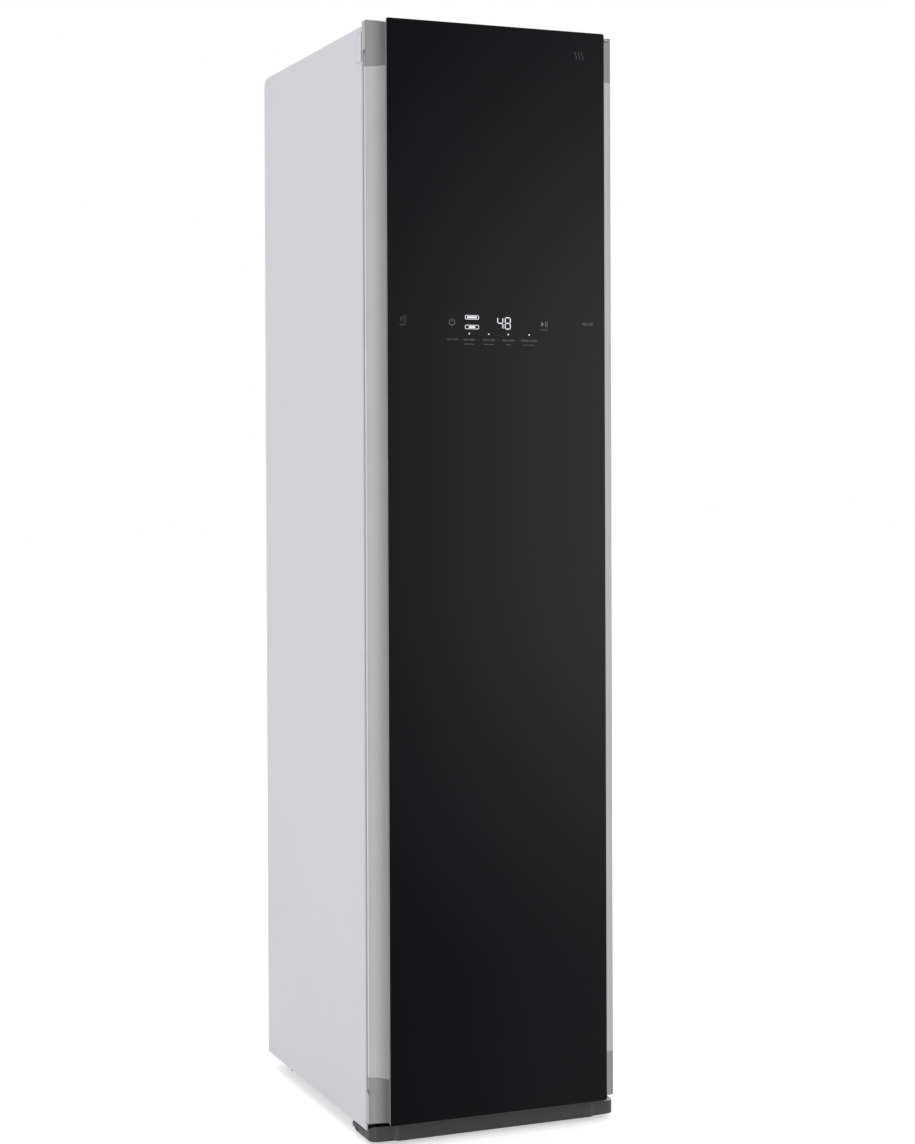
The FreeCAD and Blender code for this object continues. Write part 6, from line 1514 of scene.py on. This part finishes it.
def trouser_clamp():
    """Clamp bar: round rail with domed ends, two jaw plates and their links."""
    low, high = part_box("trouser_hanger")
    z = high.z - CLAMP_DROP
    y = low.y + CLAMP_RAIL
    tip = CLAMP_RAIL - high.x
    profile = [(0, -high.x)] + [(CLAMP_RAIL * math.sin(a), tip - CLAMP_RAIL * math.cos(a))
                                for a in (math.radians(degrees) for degrees in (30, 60, 90))]
    profile += [(radius, -x) for radius, x in reversed(profile)]
    rail = lathe(profile, (0, y, z), "X", 28)
    jaw = front_plate(rounded_rectangle(-JAW_HALF, JAW_HALF, z - JAW_DROP, z + CLAMP_DROP, JAW_RADIUS),
                      high.y - JAW_THICKNESS, high.y)
    links = [block(x - LINK_HALF, x + LINK_HALF, y, high.y - LINK_LAP, z - LINK_HALF, z + LINK_HALF)
             for x in JAW_LINKS]
    slots = [front_plate(long_slot(x - JAW_SLOT_HALF, x + JAW_SLOT_HALF, z - JAW_SLOT_DROP,
                                   JAW_SLOT_WIDTH),
                         high.y - JAW_SLOT_DEPTH, high.y + OVERCUT) for x in JAW_SLOTS]
    return joined(rail, carve(jaw, *slots), *links)


def build_door_inside():
    seal = moulding(GASKET_LOW, GASKET_HIGH, GASKET_RADIUS, GASKET_LOW.y, GASKET_FOLDS, 0.66)
    piece_from("door_seal", seal, "gasket_rubber", "door", "door_gasket", edges=(0.4, 2, 50))
    band = moulding(GASKET_LOW + LINER_BAND_INSET, GASKET_HIGH - LINER_BAND_INSET, LINER_BAND_RADIUS,
                    DOOR_REAR - LINER_BAND_SUNK, LINER_BAND, 0.8)
    shade_smooth(piece_from("door_liner_moulding", band, "door_core", "door"))
    piece_from("press_cover_panel", press_cover_panel(), "press_plastic", "press_cover", "press_cover",
               edges=(0.9, 3, 40))
    shade_smooth(piece_from("pressing_pad", pressing_pad(), "press_cloth", "door"))
    piece_from("trouser_clamp", trouser_clamp(), "bright_steel", "trouser_hanger", "trouser_hanger",
               edges=(0.5, 2, 40))
    dress("press_back_plate", "press_plastic", 0.8, 3)
    dress("press_latch", "latch_plastic", 0.5)


# ---------------------------------------------------------------- the rest of the CAD nodes

PLAIN_FINISHES = {
    "foam": ("insulation_shell",),
    "bright_steel": ("slide_rails", "hanger_bar", "steam_generator"),
    "drive_plastic": ("hanger_carriage", "crank_pulley", "motor_pulley", "blower_wheel"),
    "belt_rubber": ("drive_belt",),
    "zinc_sheet": ("drive_bracket",),
    "motor_paint": ("hanger_motor", "compressor", "fan_motor"),
    "black_plastic": ("control_box", "blower_housing", "water_pumps"),
    "fin_aluminium": ("evaporator", "condenser"),
    "pipe_copper": ("refrigerant_pipes",),
    "door_core": ("door_inner_panel",),
    "board": ("display_board",),
    "screw_steel": ("press_hinge_pins",),
}


def dress_plain_nodes():
    for material, nodes in PLAIN_FINISHES.items():
        for node in nodes:
            dress(node, material)


# ---------------------------------------------------------------- studio

FLOOR_HALF = 30.0
FLOOR_GLOW = 0.55
AMBIENT = 0.57
AIM = (0.0, 0.0, 0.95)

# place, size in metres and power in watts
LIGHTS = {
    "left_bank": ((-3.6, -0.6, 1.5), (2.4, 2.8), 18.5),
    "front_bank": ((-1.2, -4.2, 2.4), (2.2, 2.2), 22.0),
    "right_bank": ((3.4, -1.0, 1.6), (2.0, 2.6), 14.0),
    "top_bank": ((0.0, 0.2, 4.4), (2.4, 2.4), 30.0),
    "rear_bank": ((0.6, 3.8, 2.2), (2.4, 2.4), 18.0),
}

# How brightly the surround shows in glossy surfaces: angles in degrees, then the two strengths
WINDOW_ACROSS = (16.0, 30.0, 0.10, 0.86)
WINDOW_START = (0.0, 16.0, 0.0, 1.0)
WINDOW_ABOVE = (2.0, 13.0, 1.0, 0.32)
WINDOW_BELOW = (-14.0, -2.0, 0.34, 1.0)
RIGHT_WALL = (30.0, 42.0, 0.0, 0.75)
LEFT_WALL_END = (-6.0, 10.0, 1.0, 0.0)
LEFT_WALL = (-118.0, -20.0, 0.26, 0.86)
REAR_WALL = (-165.0, -140.0, 1.0, 0.0)

CAMERA_PLACE = (-1.454, -3.675, 1.114)
CAMERA_YAW, CAMERA_PITCH, CAMERA_ROLL = 22.19, -0.47, -0.21
CAMERA_LENS = 69.6
CAMERA_SENSOR = 36.0
SHIFT_UP = -0.0743


def pale_floor():
    """Wide floor that the camera sees a little brighter than its light makes it."""
    material = finish_surface("studio_floor", (0.93, 0.93, 0.93), 0.7, grain=120.0, depth=0.01,
                              spread=0.004, patches=1.0)
    tree = material.node_tree
    seen = add(tree, "LightPath").outputs["Is Camera Ray"]
    glow = add(tree, "Math", {0: seen, 1: FLOOR_GLOW}, operation="MULTIPLY")
    set_shader(material, {"Emission Strength": glow.outputs["Value"],
                          "Emission Color": (1, 1, 1, 1)})
    half = FLOOR_HALF
    mesh = bpy.data.meshes.new("studio_floor")
    mesh.from_pydata([(-half, -half, 0), (half, -half, 0), (half, half, 0), (-half, half, 0)], [],
                     [(0, 1, 2, 3)])
    mesh.materials.append(material)
    floor = linked_object("studio_floor", mesh)
    floor.visible_glossy = False


def soft_light(name, place, size, power):
    data = bpy.data.lights.new(name, "AREA")
    data.shape = "RECTANGLE"
    data.size, data.size_y = size
    data.energy = power
    light = linked_object(name, data)
    light.location = place
    light.rotation_euler = (Vector(AIM) - Vector(place)).to_track_quat("-Z", "Y").to_euler()
    light.visible_glossy = False


def studio_world():
    """White surround, with a soft dark band ahead of the glass so that it reads black."""
    world = bpy.data.worlds.new("studio")
    bpy.context.scene.world = world
    world.use_nodes = True
    tree = world.node_tree
    direction = add(tree, "TexCoord").outputs["Generated"]
    split = add(tree, "SeparateXYZ", {"Vector": direction}).outputs

    def combine(operation, *values):
        return add(tree, "Math", dict(enumerate(values)), operation=operation).outputs["Value"]

    def by_angle(angle, low, high, start, end):
        node = add(tree, "MapRange", {"From Min": math.radians(low), "From Max": math.radians(high),
                                      "To Min": start, "To Max": end, "Value": angle},
                   interpolation_type="SMOOTHSTEP")
        return node.outputs["Result"]

    turn = combine("ARCTAN2", split["X"], combine("MULTIPLY", split["Y"], -1.0))
    lift = combine("ARCSINE", split["Z"])
    window = combine("MULTIPLY", by_angle(lift, *WINDOW_ABOVE), by_angle(lift, *WINDOW_BELOW))
    for band in (WINDOW_ACROSS, WINDOW_START):
        window = combine("MULTIPLY", window, by_angle(turn, *band))
    left = combine("MULTIPLY", by_angle(turn, *LEFT_WALL_END), by_angle(turn, *LEFT_WALL))
    glossy = window
    for wall in (left, by_angle(turn, *REAR_WALL), by_angle(turn, *RIGHT_WALL)):
        glossy = combine("MAXIMUM", glossy, wall)
    path = add(tree, "LightPath").outputs
    mirror, shown = path["Is Glossy Ray"], path["Is Camera Ray"]
    spread = combine("MULTIPLY", combine("SUBTRACT", 1.0, mirror), AMBIENT)
    hidden = combine("ADD", combine("MULTIPLY", glossy, mirror), spread)
    rest = combine("MULTIPLY", hidden, combine("SUBTRACT", 1.0, shown))
    background = tree.nodes["Background"]
    feed(tree, background.inputs["Strength"], combine("ADD", rest, shown))
    background.inputs["Color"].default_value = (1.0, 1.0, 1.0, 1.0)


def place_camera():
    data = bpy.data.cameras.new("camera")
    data.lens = CAMERA_LENS
    data.sensor_width = CAMERA_SENSOR
    data.shift_y = SHIFT_UP
    camera = linked_object("camera", data)
    turn = Matrix.Rotation(math.radians(-CAMERA_YAW), 4, "Z")
    tilt = Matrix.Rotation(math.radians(90.0 + CAMERA_PITCH), 4, "X")
    roll = Matrix.Rotation(math.radians(CAMERA_ROLL), 4, "Z")
    camera.matrix_world = Matrix.Translation(CAMERA_PLACE) @ turn @ tilt @ roll
    bpy.context.scene.camera = camera


def build_studio():
    pale_floor()
    studio_world()
    for name, (place, size, power) in LIGHTS.items():
        soft_light(name, place, size, power)
    bpy.context.scene.view_settings.view_transform = "Standard"
    place_camera()


build_cabinet_outside()
build_base()
build_door_edges()
build_door_caps()
build_hinges()
build_glass()
build_touch_symbols()
build_chamber()
build_garment_hangers()
build_tanks()
build_door_inside()
dress_plain_nodes()
build_studio()
